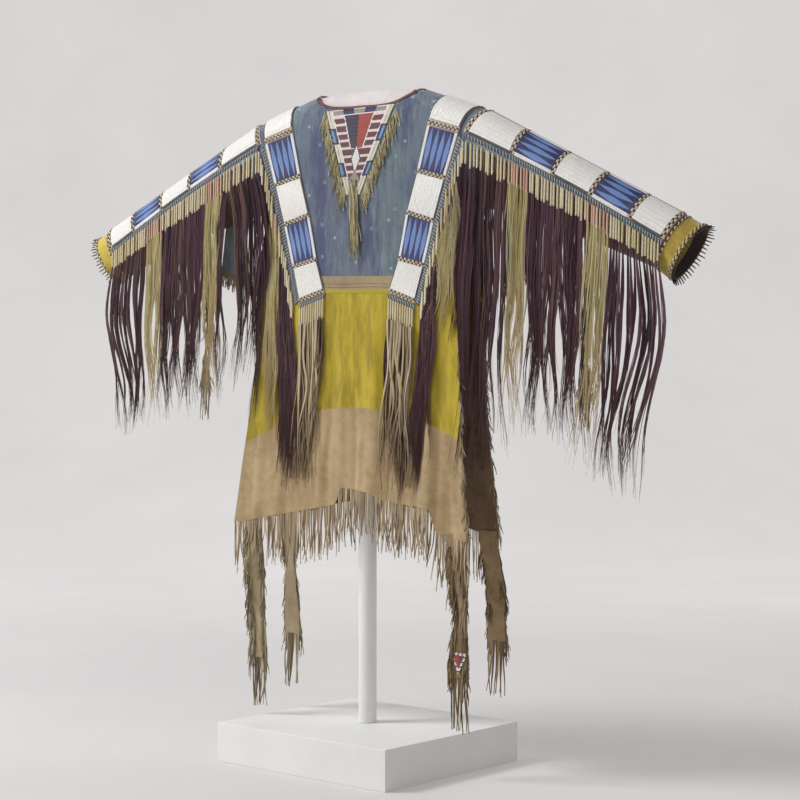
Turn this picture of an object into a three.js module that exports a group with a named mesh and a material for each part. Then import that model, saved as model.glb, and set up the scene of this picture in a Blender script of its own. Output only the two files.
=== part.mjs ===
// A Plains-style fringed hide shirt, hung over a padded form on a post stand.
// Millimetres, +Z up, the front faces -Y and +X is the wearer's left.
// The origin is on the floor under the middle of the plinth.
import * as THREE from "three";

// ---- Driving dimensions -------------------------------------------------------------------------
const plinth = { width: 457, depth: 406, height: 80, edge: 1.5, turn: -6.3 };
const post = { radius: 18.5, sides: 28 };
const hide = 2; // thickness of the hide walls
const seam = 0.3; // gap left between neighbouring pieces
const lift = 0.6; // gap under a piece that lies on a wall
const hang = { tilt: 1.75, pivotHeight: 900 }; // the shirt hangs a little low on its left sleeve
const crown = 60; // height over which the hide rounds over the shoulder
const shoulderDepth = 45; // half the depth of the shirt at the armhole
const waistHeight = { top: 988, bottom: 952 };
const neckHalfWidth = 132;
const bindingHeight = 7;
const beadwork = { thick: 3, rope: 4.2, ropeWidth: 13, edgeBand: 13 };
const degrees = Math.PI / 180;

// Height of the shoulder line above the floor, over the neck opening too.
const ridgeRows = [
  { x: 0, z: 1371 },
  { x: 60, z: 1370 },
  { x: 105, z: 1366 },
  { x: 132, z: 1360 },
  { x: 190, z: 1341 },
  { x: 240, z: 1324 },
  { x: 283.5, z: 1309 },
];

// Half width of the body, and half its depth in the middle and at the open side edges.
const bodyRows = [
  { z: 470, half: 294, middle: 55, edge: 56 },
  { z: 665, half: 267, middle: 47, edge: 50 },
  { z: 780, half: 257, middle: 42, edge: 45 },
  { z: 870, half: 247, middle: 40, edge: 41 },
  { z: 1000, half: 250, middle: 39, edge: 32 },
  { z: 1060, half: 259, middle: 40, edge: 21 },
  { z: 1100, half: 265.5, middle: 42, edge: 10 },
  { z: 1125, half: 269.5, middle: 43, edge: 1.4 },
  { z: 1309, half: 283.5, middle: 45, edge: 45 },
];

// Soft upright folds of the skirts: where the middle of each is and how far it stands out.
const frontFolds = [
  { x: -225, width: 34, out: 7, top: 900 },
  { x: -160, width: 26, out: -5, top: 800 },
  { x: -84, width: 38, out: 4, top: 860 },
  { x: -8, width: 22, out: -4, top: 640 },
  { x: 52, width: 24, out: 6, top: 760 },
  { x: 118, width: 32, out: -4, top: 820 },
  { x: 186, width: 30, out: 7, top: 900 },
  { x: 248, width: 22, out: -5, top: 740 },
];
const backFolds = [
  { x: -236, width: 30, out: -5, top: 840 },
  { x: -170, width: 36, out: 6, top: 900 },
  { x: -92, width: 28, out: -4, top: 760 },
  { x: -20, width: 40, out: 6, top: 880 },
  { x: 66, width: 26, out: -5, top: 720 },
  { x: 140, width: 34, out: 5, top: 860 },
  { x: 222, width: 30, out: 7, top: 900 },
];

// Lower edge of each skirt, from the wearer's right to the wearer's left.
const frontHem = [
  { across: -1, z: 470 },
  { across: -0.86, z: 477 },
  { across: -0.7, z: 488 },
  { across: -0.52, z: 499 },
  { across: -0.31, z: 511 },
  { across: -0.11, z: 524 },
  { across: -0.075, z: 559 },
  { across: 0.04, z: 557 },
  { across: 0.18, z: 553 },
  { across: 0.29, z: 539 },
  { across: 0.48, z: 534 },
  { across: 0.71, z: 530 },
  { across: 0.74, z: 484 },
  { across: 0.87, z: 476 },
  { across: 1, z: 470 },
];
const backHem = [
  { across: -1, z: 474 },
  { across: -0.8, z: 484 },
  { across: -0.6, z: 497 },
  { across: -0.42, z: 512 },
  { across: -0.2, z: 526 },
  { across: 0, z: 531 },
  { across: 0.2, z: 525 },
  { across: 0.42, z: 513 },
  { across: 0.6, z: 498 },
  { across: 0.8, z: 483 },
  { across: 1, z: 472 },
];

// Sleeve sections square to the arm: the place of the top, the girth downwards and its lean,
// half the depth, and the height of the rounded top part.
const sleeveRows = [
  { x: 240, z: 1324, length: 200, lean: 2, depth: 45, crown: 60 },
  { x: 283.5, z: 1309, length: 184.5, lean: 4.35, depth: 45, crown: 60 },
  { x: 350, z: 1276, length: 166, lean: 10, depth: 44, crown: 55 },
  { x: 430, z: 1236, length: 147, lean: 16, depth: 42, crown: 51 },
  { x: 520, z: 1191, length: 131, lean: 21, depth: 40, crown: 50 },
  { x: 610, z: 1146, length: 119, lean: 25, depth: 38, crown: 53 },
  { x: 690, z: 1106, length: 111, lean: 28, depth: 36, crown: 57 },
  { x: 715, z: 1094, length: 110, lean: 29, depth: 36, crown: 58 },
  { x: 752, z: 1075, length: 117, lean: 33, depth: 38, crown: 60 },
];
const sleeveStart = 283.9;
const cuffStart = 715;
const mouth = 752;
const cuffBead = 0.8; // how far the two edges of a cuff are thickened

// Both long edges of a shoulder strip, from the shoulder line down to its lower end.
const shoulderStripRows = [
  { mark: "shoulder", innerX: 190, innerZ: 1341, outerX: 268, outerZ: 1314 },
  { mark: "first rope", innerX: 168, innerZ: 1282, outerX: 240, outerZ: 1262 },
  { mark: "second rope", innerX: 145, innerZ: 1190, outerX: 211, outerZ: 1173 },
  { mark: "third rope", innerX: 121, innerZ: 1109, outerX: 186, outerZ: 1090 },
  { mark: "fourth rope", innerX: 102, innerZ: 1018, outerX: 163, outerZ: 1003 },
  { mark: "fifth rope", innerX: 80, innerZ: 954, outerX: 144, outerZ: 932 },
];

// Places along a sleeve strip where its blocks of beadwork meet.
const sleeveBlocks = [374, 466, 550, 636];

// ---- Materials ----------------------------------------------------------------------------------
function material(color, roughness) {
  return new THREE.MeshStandardMaterial({ color, roughness, metalness: 0 });
}
const finishes = {
  stand: material(0xebebe8, 0.6),
  form: material(0xd9d4d2, 0.9),
  blueHide: material(0x5c6f85, 0.92),
  tanHide: material(0xaf9b78, 0.92),
  yellowHide: material(0xa89a35, 0.92),
  brownHide: material(0x6d5548, 0.92),
  wool: material(0x823c3c, 0.95),
  beads: material(0xe1ded7, 0.4),
  hair: material(0x33202a, 0.6),
  thong: material(0xa5966f, 0.9),
};

// ---- Small helpers ------------------------------------------------------------------------------
// Reads a column of a table at a value of its key column, which rises from row to row.
function read(rows, key, value, column) {
  let next = 1;
  while (next < rows.length - 1 && rows[next][key] < value) {
    next += 1;
  }
  const low = rows[next - 1];
  const high = rows[next];
  const share = THREE.MathUtils.clamp((value - low[key]) / (high[key] - low[key]), 0, 1);
  return THREE.MathUtils.lerp(low[column], high[column], share);
}

// A repeatable number from 0 to 1 for each count, for small unevenness.
function uneven(count) {
  const wave = Math.sin(count * 12.9898 + 4.1) * 43758.5453;
  return wave - Math.floor(wave);
}

function steps(from, to, count) {
  return Array.from({ length: count + 1 }, (unused, i) => from + ((to - from) * i) / count);
}

function piece(name, corners, triangles, finish) {
  let volume = 0;
  for (const [a, b, c] of triangles) {
    volume += corners[a].dot(new THREE.Vector3().crossVectors(corners[b], corners[c]));
  }
  const facing = volume < 0 ? triangles.map(([a, b, c]) => [a, c, b]) : triangles;
  const geometry = new THREE.BufferGeometry();
  geometry.setFromPoints(corners);
  geometry.setIndex(facing.flat());
  geometry.computeVertexNormals();
  const mesh = new THREE.Mesh(geometry, finish.clone());
  mesh.name = name;
  return mesh;
}

// A wall through a grid of places { p, n }: n points out of the shirt. The wall runs from `inside`
// to `outside(row, column)` along n. A ring closes on itself from the last column to the first.
function wall(name, grid, inside, outside, finish, ring = false) {
  const rowCount = grid.length;
  const columnCount = grid[0].length;
  const corners = [];
  for (const layer of ["outer", "inner"]) {
    grid.forEach((row, r) => {
      row.forEach((place, c) => {
        const out = layer === "outer" ? outside(r, c) : inside;
        corners.push(place.p.clone().addScaledVector(place.n, out));
      });
    });
  }
  const outer = (r, c) => r * columnCount + (c % columnCount);
  const inner = (r, c) => rowCount * columnCount + outer(r, c);
  const triangles = [];
  const quad = (a, b, c, d) => triangles.push([a, b, c], [a, c, d]);
  const spans = ring ? columnCount : columnCount - 1;
  for (let r = 0; r < rowCount - 1; r += 1) {
    for (let c = 0; c < spans; c += 1) {
      quad(outer(r, c), outer(r + 1, c), outer(r + 1, c + 1), outer(r, c + 1));
      quad(inner(r, c), inner(r, c + 1), inner(r + 1, c + 1), inner(r + 1, c));
    }
  }
  const last = rowCount - 1;
  for (let c = 0; c < spans; c += 1) {
    quad(outer(0, c), outer(0, c + 1), inner(0, c + 1), inner(0, c));
    quad(outer(last, c + 1), outer(last, c), inner(last, c), inner(last, c + 1));
  }
  if (!ring) {
    const end = columnCount - 1;
    for (let r = 0; r < last; r += 1) {
      quad(outer(r + 1, 0), outer(r, 0), inner(r, 0), inner(r + 1, 0));
      quad(outer(r, end), outer(r + 1, end), inner(r + 1, end), inner(r, end));
    }
  }
  return piece(name, corners, triangles, finish);
}

// A lofted solid through closed rings of points, flat at both ends.
function loft(name, rings, finish) {
  const sides = rings[0].length;
  const corners = rings.flat();
  const triangles = [];
  for (let r = 0; r < rings.length - 1; r += 1) {
    for (let c = 0; c < sides; c += 1) {
      const a = r * sides + c;
      const b = r * sides + ((c + 1) % sides);
      triangles.push([a, b, b + sides], [a, b + sides, a + sides]);
    }
  }
  const end = (rings.length - 1) * sides;
  for (let c = 1; c < sides - 1; c += 1) {
    triangles.push([0, c + 1, c], [end, end + c, end + c + 1]);
  }
  return piece(name, corners, triangles, finish);
}

// A narrow strip with strands growing out of its lower edge. Each station has the two places
// { top, bottom } with their outward directions; every second cell between stations carries a
// strand, whose rings { at, width, thick } go from its root to its tip.
function fringe(name, stations, thick, strandRings, outward, finish) {
  const corners = [];
  const triangles = [];
  const quad = (a, b, c, d) => triangles.push([a, b, c], [a, c, d]);
  for (const { top, bottom } of stations) {
    for (const [place, way] of [[top, 1], [bottom, 1], [bottom, -1], [top, -1]]) {
      corners.push(place.p.clone().addScaledVector(place.n, (way * thick) / 2));
    }
  }
  for (let i = 0; i < stations.length - 1; i += 1) {
    const here = i * 4;
    const next = here + 4;
    quad(here, here + 1, next + 1, next);
    quad(here + 2, here + 3, next + 3, next + 2);
    quad(here + 3, here, next, next + 3);
    if (i % 2 === 1) {
      quad(here + 1, here + 2, next + 2, next + 1);
      continue;
    }
    const along = Math.sign(stations[i + 1].bottom.p.x - stations[i].bottom.p.x) || 1;
    let ring = [here + 1, next + 1, next + 2, here + 2];
    for (const { at, width, thick: depth } of strandRings(i / 2, stations[i], stations[i + 1])) {
      const base = corners.length;
      for (const [side, face] of [[-1, 1], [1, 1], [1, -1], [-1, -1]]) {
        const x = at.x + (side * along * width) / 2;
        corners.push(new THREE.Vector3(x, at.y + (face * outward * depth) / 2, at.z));
      }
      for (let k = 0; k < 4; k += 1) {
        quad(ring[k], base + k, base + ((k + 1) % 4), ring[(k + 1) % 4]);
      }
      ring = [base, base + 1, base + 2, base + 3];
    }
    quad(ring[0], ring[3], ring[2], ring[1]);
  }
  const end = (stations.length - 1) * 4;
  quad(0, 3, 2, 1);
  quad(end, end + 1, end + 2, end + 3);
  return piece(name, corners, triangles, finish);
}

// Splits a path into cells for strands and the gaps between them, as shares from 0 to 1.
function cellShares(count, strandShare) {
  const pitch = 1 / (count - 1 + strandShare);
  const shares = [];
  for (let i = 0; i < count; i += 1) {
    shares.push(i * pitch, (i + strandShare) * pitch);
  }
  return shares;
}

// ---- Surfaces of the shirt ----------------------------------------------------------------------
const ridge = (x) => read(ridgeRows, "x", Math.abs(x), "z");
const halfWidth = (z) => read(bodyRows, "z", z, "half");

// The open side edge closes to a point at the underarm, as the lower half of the armhole does.
function edgeDepth(z) {
  const widest = ridgeRows.at(-1).z - crown;
  const underarm = bodyRows.at(-2);
  if (z >= widest) {
    return shoulderDepth;
  }
  if (z > underarm.z) {
    const share = (widest - z) / (widest - underarm.z);
    return Math.max(underarm.edge, shoulderDepth * Math.sqrt(1 - share * share));
  }
  return read(bodyRows, "z", z, "edge");
}

function foldDepth(x, z, face) {
  let depth = 0;
  for (const fold of face < 0 ? frontFolds : backFolds) {
    const near = Math.max(0, 1 - Math.abs(x - fold.x) / (fold.width * 1.6));
    const grown = THREE.MathUtils.smoothstep(fold.top - z, 0, fold.top - 470);
    depth += fold.out * near * near * (3 - 2 * near) * grown;
  }
  return depth;
}

function bodyDepth(x, z, face) {
  const toEdge = THREE.MathUtils.smoothstep(Math.abs(x) / halfWidth(z), 0.8, 1);
  const depth = THREE.MathUtils.lerp(read(bodyRows, "z", z, "middle"), edgeDepth(z), toEdge);
  return depth + foldDepth(x, z, face);
}

// A place on the front (face -1) or back (face 1) of the body.
function onBody(x, z, face) {
  const drop = Math.max(0, ridge(x) - z);
  const depth = bodyDepth(x, z, face);
  if (drop < crown) {
    const turn = Math.acos(1 - drop / crown);
    const p = new THREE.Vector3(x, face * (seam / 2 + depth * Math.sin(turn)), z);
    const n = new THREE.Vector3(0, face * crown * Math.sin(turn), depth * Math.cos(turn));
    return { p, n: n.normalize() };
  }
  const slope = bodyDepth(x, z - 2, face) - bodyDepth(x, z + 2, face);
  const n = new THREE.Vector3(0, face * 4, slope).normalize();
  return { p: new THREE.Vector3(x, face * (seam / 2 + depth), z), n };
}

// A place on a sleeve: the angle goes from the top (0) round the front or back to the bottom (180).
function onSleeve(x, angle, face) {
  const row = (column) => read(sleeveRows, "x", x, column);
  const lean = row("lean") * degrees;
  const turn = angle * degrees;
  const height = angle <= 90 ? row("crown") : row("length") - row("crown");
  const across = row("depth") * Math.sin(turn);
  const down = row("crown") - height * Math.cos(turn);
  const p = new THREE.Vector3(
    x - down * Math.sin(lean),
    face * across,
    row("z") - down * Math.cos(lean),
  );
  const up = row("depth") * Math.cos(turn);
  const n = new THREE.Vector3(
    up * Math.sin(lean),
    face * height * Math.sin(turn),
    up * Math.cos(lean),
  );
  return { p, n: n.normalize() };
}

const mirrored = ({ p, n }, side) => ({
  p: new THREE.Vector3(side * p.x, p.y, p.z),
  n: new THREE.Vector3(side * n.x, n.y, n.z),
});
const moved = ({ p, n }, out) => ({ p: p.clone().addScaledVector(n, out), n });

// ---- Neck ---------------------------------------------------------------------------------------
const neckDip = { front: 45, back: 20 }; // how far the neck edge lies below the shoulder line
const neckAngles = [0, 11, 24, 45, 68, 90, 112, 135, 156, 169, 180];
const neckStations = neckAngles.map((angle) => neckHalfWidth * Math.cos(angle * degrees));

function neckEdge(x, face) {
  const share = Math.min(1, Math.abs(x) / neckHalfWidth);
  const dip = face < 0 ? neckDip.front : neckDip.back;
  return ridge(x) - dip * (1 - share ** 4);
}

function neckBinding() {
  const loop = [
    ...neckStations.map((x) => ({ x, face: -1 })),
    ...neckStations.slice(1, -1).reverse().map((x) => ({ x, face: 1 })),
  ];
  const rows = [0, 1].map((row) => loop.map(({ x, face }) => {
    const inward = x * (1 - (1.4 + row * bindingHeight * 0.8) / neckHalfWidth);
    const top = Math.abs(x) > neckHalfWidth - 1;
    const height = top ? ridge(inward) : Math.min(neckEdge(x, face) + row * bindingHeight, ridge(x));
    const place = onBody(inward, height, face);
    if (top) {
      place.p.y = 0;
    }
    return place;
  }));
  return wall("neck_binding", rows, -hide / 2 + 0.2, () => hide, finishes.wool, true);
}

// ---- Body panels --------------------------------------------------------------------------------
// Rows of a yoke meet the corners of the armhole, so they are shares of the drop to the waist.
const armholeAngles = steps(0, 180, 8);
const yokeShares = armholeAngles.map((angle) => {
  const top = ridgeRows.at(-1).z;
  return (top - onSleeve(283.5, angle, -1).p.z) / (top - waistHeight.top);
});
yokeShares.push(...[1100, 1060, 1024, waistHeight.top].map(
  (z) => (ridgeRows.at(-1).z - z) / (ridgeRows.at(-1).z - waistHeight.top),
));

function yokeTop(x, face) {
  return Math.abs(x) < neckHalfWidth - 1 ? neckEdge(x, face) - 2.5 * seam : ridge(x);
}

function yoke(name, face) {
  const outerShares = [1, 0.9, 0.8, 0.67, 0.56];
  const neckShares = neckStations.map((x) => x / 283.5);
  const columns = [...outerShares, ...neckShares, ...outerShares.map((u) => -u).reverse()];
  const grid = yokeShares.map((share) => columns.map((u) => {
    const top = yokeTop(u * 283.5, face);
    const z = top - share * (top - waistHeight.top);
    return onBody(u * halfWidth(z), z, face);
  }));
  return wall(name, grid, -hide / 2, () => hide / 2, finishes.blueHide);
}

function waistBand(name, face) {
  const columns = steps(-1, 1, 16);
  const heights = [waistHeight.top - seam, waistHeight.bottom + seam];
  const grid = heights.map((z) => columns.map((u) => onBody(u * halfWidth(z), z, face)));
  return wall(name, grid, -hide / 2, () => hide / 2, finishes.tanHide);
}

function skirt(name, face, hem) {
  const corners = hem.map((row) => row.across);
  const between = steps(-1, 1, 20).filter((u) => corners.every((v) => Math.abs(u - v) > 0.04));
  const columns = [...corners, ...between].sort((a, b) => a - b);
  const grid = steps(0, 1, 6).map((share) => columns.map((u) => {
    const low = read(hem, "across", u, "z");
    const z = waistHeight.bottom + (low - waistHeight.bottom) * share;
    return onBody(u * halfWidth(z), z, face);
  }));
  return wall(name, grid, -hide / 2, () => hide / 2, finishes.yellowHide);
}

// ---- Sleeves ------------------------------------------------------------------------------------
function sleeveRing(x, side) {
  return steps(0, 360, 16).slice(0, 16).map((angle) => {
    const face = angle <= 180 ? -1 : 1;
    return mirrored(onSleeve(x, angle <= 180 ? angle : 360 - angle, face), side);
  });
}

function sleeve(name, side) {
  const places = [sleeveStart, 350, 430, 520, 610, 690, cuffStart - seam / 2];
  const rings = places.map((x) => sleeveRing(x, side));
  return wall(name, rings, -hide / 2, () => hide / 2, finishes.brownHide, true);
}

function cuff(name, side) {
  const places = [cuffStart + seam / 2 + 0.1, (cuffStart + mouth) / 2, mouth];
  const rings = places.map((x) => sleeveRing(x, side));
  const outside = (r) => hide / 2 + (r === 1 ? 0 : cuffBead);
  return wall(name, rings, -hide / 2, outside, finishes.yellowHide, true);
}

// ---- Beadwork -----------------------------------------------------------------------------------
const stripLower = 84; // angle round the sleeve at the strip's lower edge

function isRope(place, marks) {
  return marks.some((mark) => Math.abs(place - mark) <= beadwork.ropeWidth / 2 + 0.01);
}

function sleeveStrip(name, side) {
  const ropes = [291, ...sleeveBlocks, 707.5];
  const half = beadwork.ropeWidth / 2;
  const places = ropes.flatMap((x) => [x - half - 0.4, x - half, x + half, x + half + 0.4]);
  places.push(334, 420, 508, 593, 672);
  places.sort((a, b) => a - b);
  places.shift();
  places.pop();
  const angles = [0, 22.5, 45, 67.5, stripLower];
  const grid = angles.map((angle) => places.map((x) => {
    // The start of the strip runs inwards down to the shoulder strip.
    const slant = Math.max(0, 1 - (x - 284) / 90) * 32 * (angle / stripLower);
    const place = mirrored(onSleeve(x - slant, angle, -1), side);
    return moved(place, x - slant < 310 ? 0.7 : 0);
  }));
  const under = hide / 2 + lift;
  const outside = (r, c) => {
    const rope = isRope(places[c], ropes) ? 1 : 0;
    return under + beadwork.thick + rope * (beadwork.rope - beadwork.thick);
  };
  return wall(name, grid, under, outside, finishes.beads);
}

// A place on a shoulder strip at one of its rows: `inner` is 1 at its inner edge and 0 at its outer.
function stripPlace(row, inner, face, side) {
  const x = THREE.MathUtils.lerp(row.outerX, row.innerX, inner);
  const z = THREE.MathUtils.lerp(row.outerZ, row.innerZ, inner);
  const place = onBody(x, Math.min(z, ridge(x)), face);
  return mirrored(place, side);
}

function blendRows(a, b, share) {
  const row = {};
  for (const column of ["innerX", "innerZ", "outerX", "outerZ"]) {
    row[column] = THREE.MathUtils.lerp(a[column], b[column], share);
  }
  return row;
}

function shoulderStrip(name, side) {
  // Over the shoulder the strip bends with the hide, so its first rows are set by that bend.
  const [top, first] = shoulderStripRows;
  const bend = yokeShares.slice(0, 4).map((share, i) => {
    const row = blendRows(top, first, i / 4);
    for (const edge of ["inner", "outer"]) {
      const height = ridge(row[`${edge}X`]);
      row[`${edge}Z`] = height - share * (height - waistHeight.top);
    }
    return { row, rope: false };
  });
  const flat = [];
  shoulderStripRows.slice(1).forEach((row, i, all) => {
    const before = i === 0 ? top : all[i - 1];
    const length = before.innerZ - row.innerZ;
    const start = 1 - beadwork.ropeWidth / length;
    if (i > 0) {
      flat.push({ row: blendRows(before, row, start / 2), rope: false });
      flat.push({ row: blendRows(before, row, start - 0.004), rope: false });
      flat.push({ row: blendRows(before, row, start), rope: true });
    }
    flat.push({ row, rope: true });
    if (i < all.length - 1) {
      flat.push({ row: blendRows(row, all[i + 1], 0.004), rope: false });
    }
  });
  const down = [...bend, ...flat];
  const whole = [
    ...down.slice(1).reverse().map((entry) => ({ ...entry, face: 1 })),
    ...down.map((entry) => ({ ...entry, face: -1 })),
  ];
  const grid = whole.map(({ row, face }, r) => [0, 0.5, 1].map((inner) => {
    const place = stripPlace(row, inner, face, side);
    if (r === down.length - 1) {
      place.p.y = 0;
    }
    return place;
  }));
  const under = hide / 2 + lift;
  const outside = (r) => under + (whole[r].rope ? beadwork.rope : beadwork.thick);
  return wall(name, grid, under, outside, finishes.beads);
}

const bibShape = { topZ: 1322, lowZ: 1152, topMiddle: 2, lowMiddle: -11, topHalf: 84, lowHalf: 17 };

function bibEdge(share) {
  const middle = THREE.MathUtils.lerp(bibShape.topMiddle, bibShape.lowMiddle, share);
  const half = THREE.MathUtils.lerp(bibShape.topHalf, bibShape.lowHalf, share);
  return { middle, half, z: THREE.MathUtils.lerp(bibShape.topZ, bibShape.lowZ, share) };
}

function bib(name) {
  const grid = steps(0, 1, 9).map((share) => steps(-1, 1, 8).map((across) => {
    const { middle, half, z } = bibEdge(share);
    return onBody(middle + across * half, z, -1);
  }));
  const under = hide / 2 + lift;
  return wall(name, grid, under, () => under + 2.2, finishes.beads);
}

// ---- Fringes ------------------------------------------------------------------------------------
// Stations of a strip that lies on the body along a path of [x, z] points. The strip lies to the
// right of the path as it is walked with the front in view, and it is `width` wide.
function bodyStations(path, shares, width, out, face, side) {
  const points = path.map(([x, z]) => new THREE.Vector3(x, 0, z));
  const route = new THREE.CurvePath();
  for (let i = 1; i < points.length; i += 1) {
    route.add(new THREE.LineCurve3(points[i - 1], points[i]));
  }
  return shares.map((share) => {
    const here = route.getPointAt(share);
    const before = route.getPointAt(Math.max(0, share - 0.02));
    const after = route.getPointAt(Math.min(1, share + 0.02));
    const way = after.sub(before).normalize();
    const low = here.clone().add(new THREE.Vector3(way.z, 0, -way.x).multiplyScalar(width));
    return {
      top: mirrored(moved(onBody(here.x, here.z, face), out), side),
      bottom: mirrored(moved(onBody(low.x, low.z, face), out), side),
    };
  });
}

// Rings of a strand that hangs from a cell of its strip to a tip, in front of the body.
function bodyStrand(first, second, tip, size, out, face, side) {
  const root = first.bottom.p.clone().add(second.bottom.p).multiplyScalar(0.5);
  const startX = root.x * side + tip.aside;
  return tip.shares.map((share, k) => {
    const wave = tip.sway * Math.sin(share * 4 + tip.phase) * share;
    const x = THREE.MathUtils.lerp(startX, tip.x, share) + wave;
    const z = THREE.MathUtils.lerp(root.z - 3, tip.z, share);
    const at = onBody(side * x, z, face).p;
    const last = k === tip.shares.length - 1;
    return {
      at: new THREE.Vector3(at.x, at.y + face * out, at.z),
      width: last ? size.tip : size.width,
      thick: last ? 1.2 : size.thick,
    };
  });
}

function hemFringe(name, hem, from, to, count, face) {
  const rows = hem.filter((row) => row.across >= from && row.across <= to);
  const path = rows.map((row) => [row.across * halfWidth(row.z), row.z - 3 * seam]);
  const stations = bodyStations(path, cellShares(count, 0.5), 5, 0, face, 1);
  return fringe(name, stations, hide, (i, first, second) => {
    const root = (first.bottom.p.x + second.bottom.p.x) / 2;
    const z = first.bottom.p.z - 72 - 16 * uneven(i + 50 * (face + 2));
    const x = root + 6 * (uneven(i * 3 + 1) - 0.5);
    const tip = { x, z, aside: 0, sway: 1.5, phase: i, shares: [0.45, 1] };
    return bodyStrand(first, second, tip, { width: 8, thick: 2, tip: 3.5 }, 0, face, 1);
  }, face, finishes.thong);
}

function chestLocks(name, side, face, count) {
  const edge = shoulderStripRows.slice(1).map((row) => [row.outerX + 1.2, row.outerZ - 4]);
  edge[0][1] -= 6;
  edge.at(-1)[1] += 6;
  const path = edge.reverse();
  const out = hide / 2 + lift + 1.5;
  const stations = bodyStations(path, cellShares(count, 0.55), beadwork.edgeBand, out, face, side);
  return fringe(name, stations, 3, (i, first, second) => {
    const root = ((first.bottom.p.x + second.bottom.p.x) / 2) * side;
    const share = i / (count - 1);
    const length = THREE.MathUtils.lerp(330, 620, share) + 40 * uneven(i + 7);
    const tip = {
      x: root + 4,
      z: first.bottom.p.z - length,
      aside: 3,
      sway: 1.2,
      phase: 1,
      shares: [0.035, 0.5, 1],
    };
    return bodyStrand(first, second, tip, { width: 4.6, thick: 5, tip: 2 }, out + 3, face, side);
  }, face, finishes.hair);
}

function chestThongs(name, side, face, count) {
  const low = shoulderStripRows.at(-1);
  const path = [[low.innerX + 2, low.innerZ - 1.6], [low.outerX - 2, low.outerZ - 1.6]];
  const out = hide / 2 + lift + 1.5;
  const stations = bodyStations(path, cellShares(count, 0.6), beadwork.edgeBand, out, face, side);
  return fringe(name, stations, 3, (i, first, second) => {
    const root = ((first.bottom.p.x + second.bottom.p.x) / 2) * side;
    const tip = {
      x: root + 5 * (uneven(i + 3) - 0.5),
      z: 560 + 34 * uneven(i + 11),
      aside: 0,
      sway: 1.5,
      phase: 0.6 * i,
      shares: [0.03, 0.5, 1],
    };
    return bodyStrand(first, second, tip, { width: 5, thick: 4, tip: 2.5 }, out + 2, face, side);
  }, face, finishes.thong);
}

function bibFringe(name) {
  const sides = [0.05, 0.5, 1].map(bibEdge);
  const clear = [1.8, 1.8, 3.3]; // the path runs a little wider round the lowest point
  const drop = [0, 0, 3];
  const left = sides.map(({ middle, half, z }, i) => [middle - half - clear[i], z - drop[i]]);
  const right = sides.map(({ middle, half, z }, i) => [middle + half + clear[i], z - drop[i]]);
  const path = [...left, ...right.reverse()];
  const out = hide / 2 + lift + 1;
  const count = 13;
  const stations = bodyStations(path, cellShares(count, 0.5), 5, out, -1, 1);
  return fringe(name, stations, 2, (i, first, second) => {
    const root = first.bottom.p.clone().add(second.bottom.p).multiplyScalar(0.5);
    const fromMiddle = (i - (count - 1) / 2) / ((count - 1) / 2);
    const centre = Math.abs(fromMiddle) < 0.2;
    const length = centre ? 104 : 30 + 8 * uneven(i);
    const tip = {
      x: root.x + Math.sign(fromMiddle) * (centre ? -2 : 7),
      z: root.z - length,
      aside: 0,
      sway: 0.5,
      phase: i,
      shares: [0.3, 1],
    };
    return bodyStrand(first, second, tip, { width: 5, thick: 3, tip: 2 }, out + 1, -1, 1);
  }, -1, finishes.thong);
}

// The band of slanting stitches under a sleeve strip, with the hair and thong locks that hang there.
function sleeveLocks(name, side) {
  const count = 24;
  const shares = cellShares(count, 0.66);
  const out = hide / 2 + lift + 1.8;
  const stations = shares.map((share) => {
    const x = THREE.MathUtils.lerp(292, 711, share);
    const slant = Math.max(0, 1 - (x - 284) / 90) * 32;
    const edge = (angle) => mirrored(moved(onSleeve(x - slant, angle, -1), out), side);
    return { top: edge(stripLower + 1.4), bottom: edge(stripLower + 15) };
  });
  return fringe(name, stations, 3, (i, first, second) => {
    const root = first.bottom.p.clone().add(second.bottom.p).multiplyScalar(0.5);
    const share = i / (count - 1);
    const low = 690 - 55 * Math.sin(share * Math.PI) - 30 * share + 50 * (uneven(i + 20) - 0.5);
    return [0.04, 0.45, 1].map((along, k) => ({
      at: new THREE.Vector3(
        root.x + side * (2.2 * Math.sin(along * 5 + i * 0.4) * along + 5 * along * (share - 0.5)),
        root.y - 3 - 4 * along,
        THREE.MathUtils.lerp(root.z - 2, low, along),
      ),
      width: k === 2 ? 3 : 9,
      thick: k === 2 ? 1.5 : 6,
    }));
  }, -1, finishes.hair);
}

// ---- Hanging strips of hide ---------------------------------------------------------------------
// A flat strip that hangs straight down through a few rows { x, z, half } at one depth. Its upper
// edge may slope, by the rise over its half width.
function hangingStrip(name, rows, depthAt, face, finish) {
  const grid = rows.map(({ x, z, half, rise = 0 }) => [-1, -0.5, 0, 0.5, 1].map((across) => {
    const px = x + across * half;
    return {
      p: new THREE.Vector3(px, depthAt(px, z), z + rise * across),
      n: new THREE.Vector3(0, face, 0),
    };
  }));
  return wall(name, grid, -hide / 2, () => hide / 2, finish);
}

function stripEnd(name, row, y, face, count, tipZ) {
  const stations = cellShares(count, 0.55).map((share) => {
    const x = row.x + (share * 2 - 1) * row.half;
    const n = new THREE.Vector3(0, face, 0);
    return {
      top: { p: new THREE.Vector3(x, y, row.z - seam), n },
      bottom: { p: new THREE.Vector3(x, y, row.z - 5), n },
    };
  });
  return fringe(name, stations, hide, (i, first, second) => {
    const x = (first.bottom.p.x + second.bottom.p.x) / 2;
    const low = tipZ + 10 * uneven(i + row.x);
    const tipX = x + 1.5 * (uneven(i * 5) - 0.5);
    const root = new THREE.Vector3(x, y, row.z - 6);
    const tip = new THREE.Vector3(tipX, y, low);
    return [0.5, 1].map((along, k) => ({
      at: root.clone().lerp(tip, along),
      width: k === 1 ? 2.5 : 5,
      thick: hide,
    }));
  }, face, finishes.thong);
}

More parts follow.
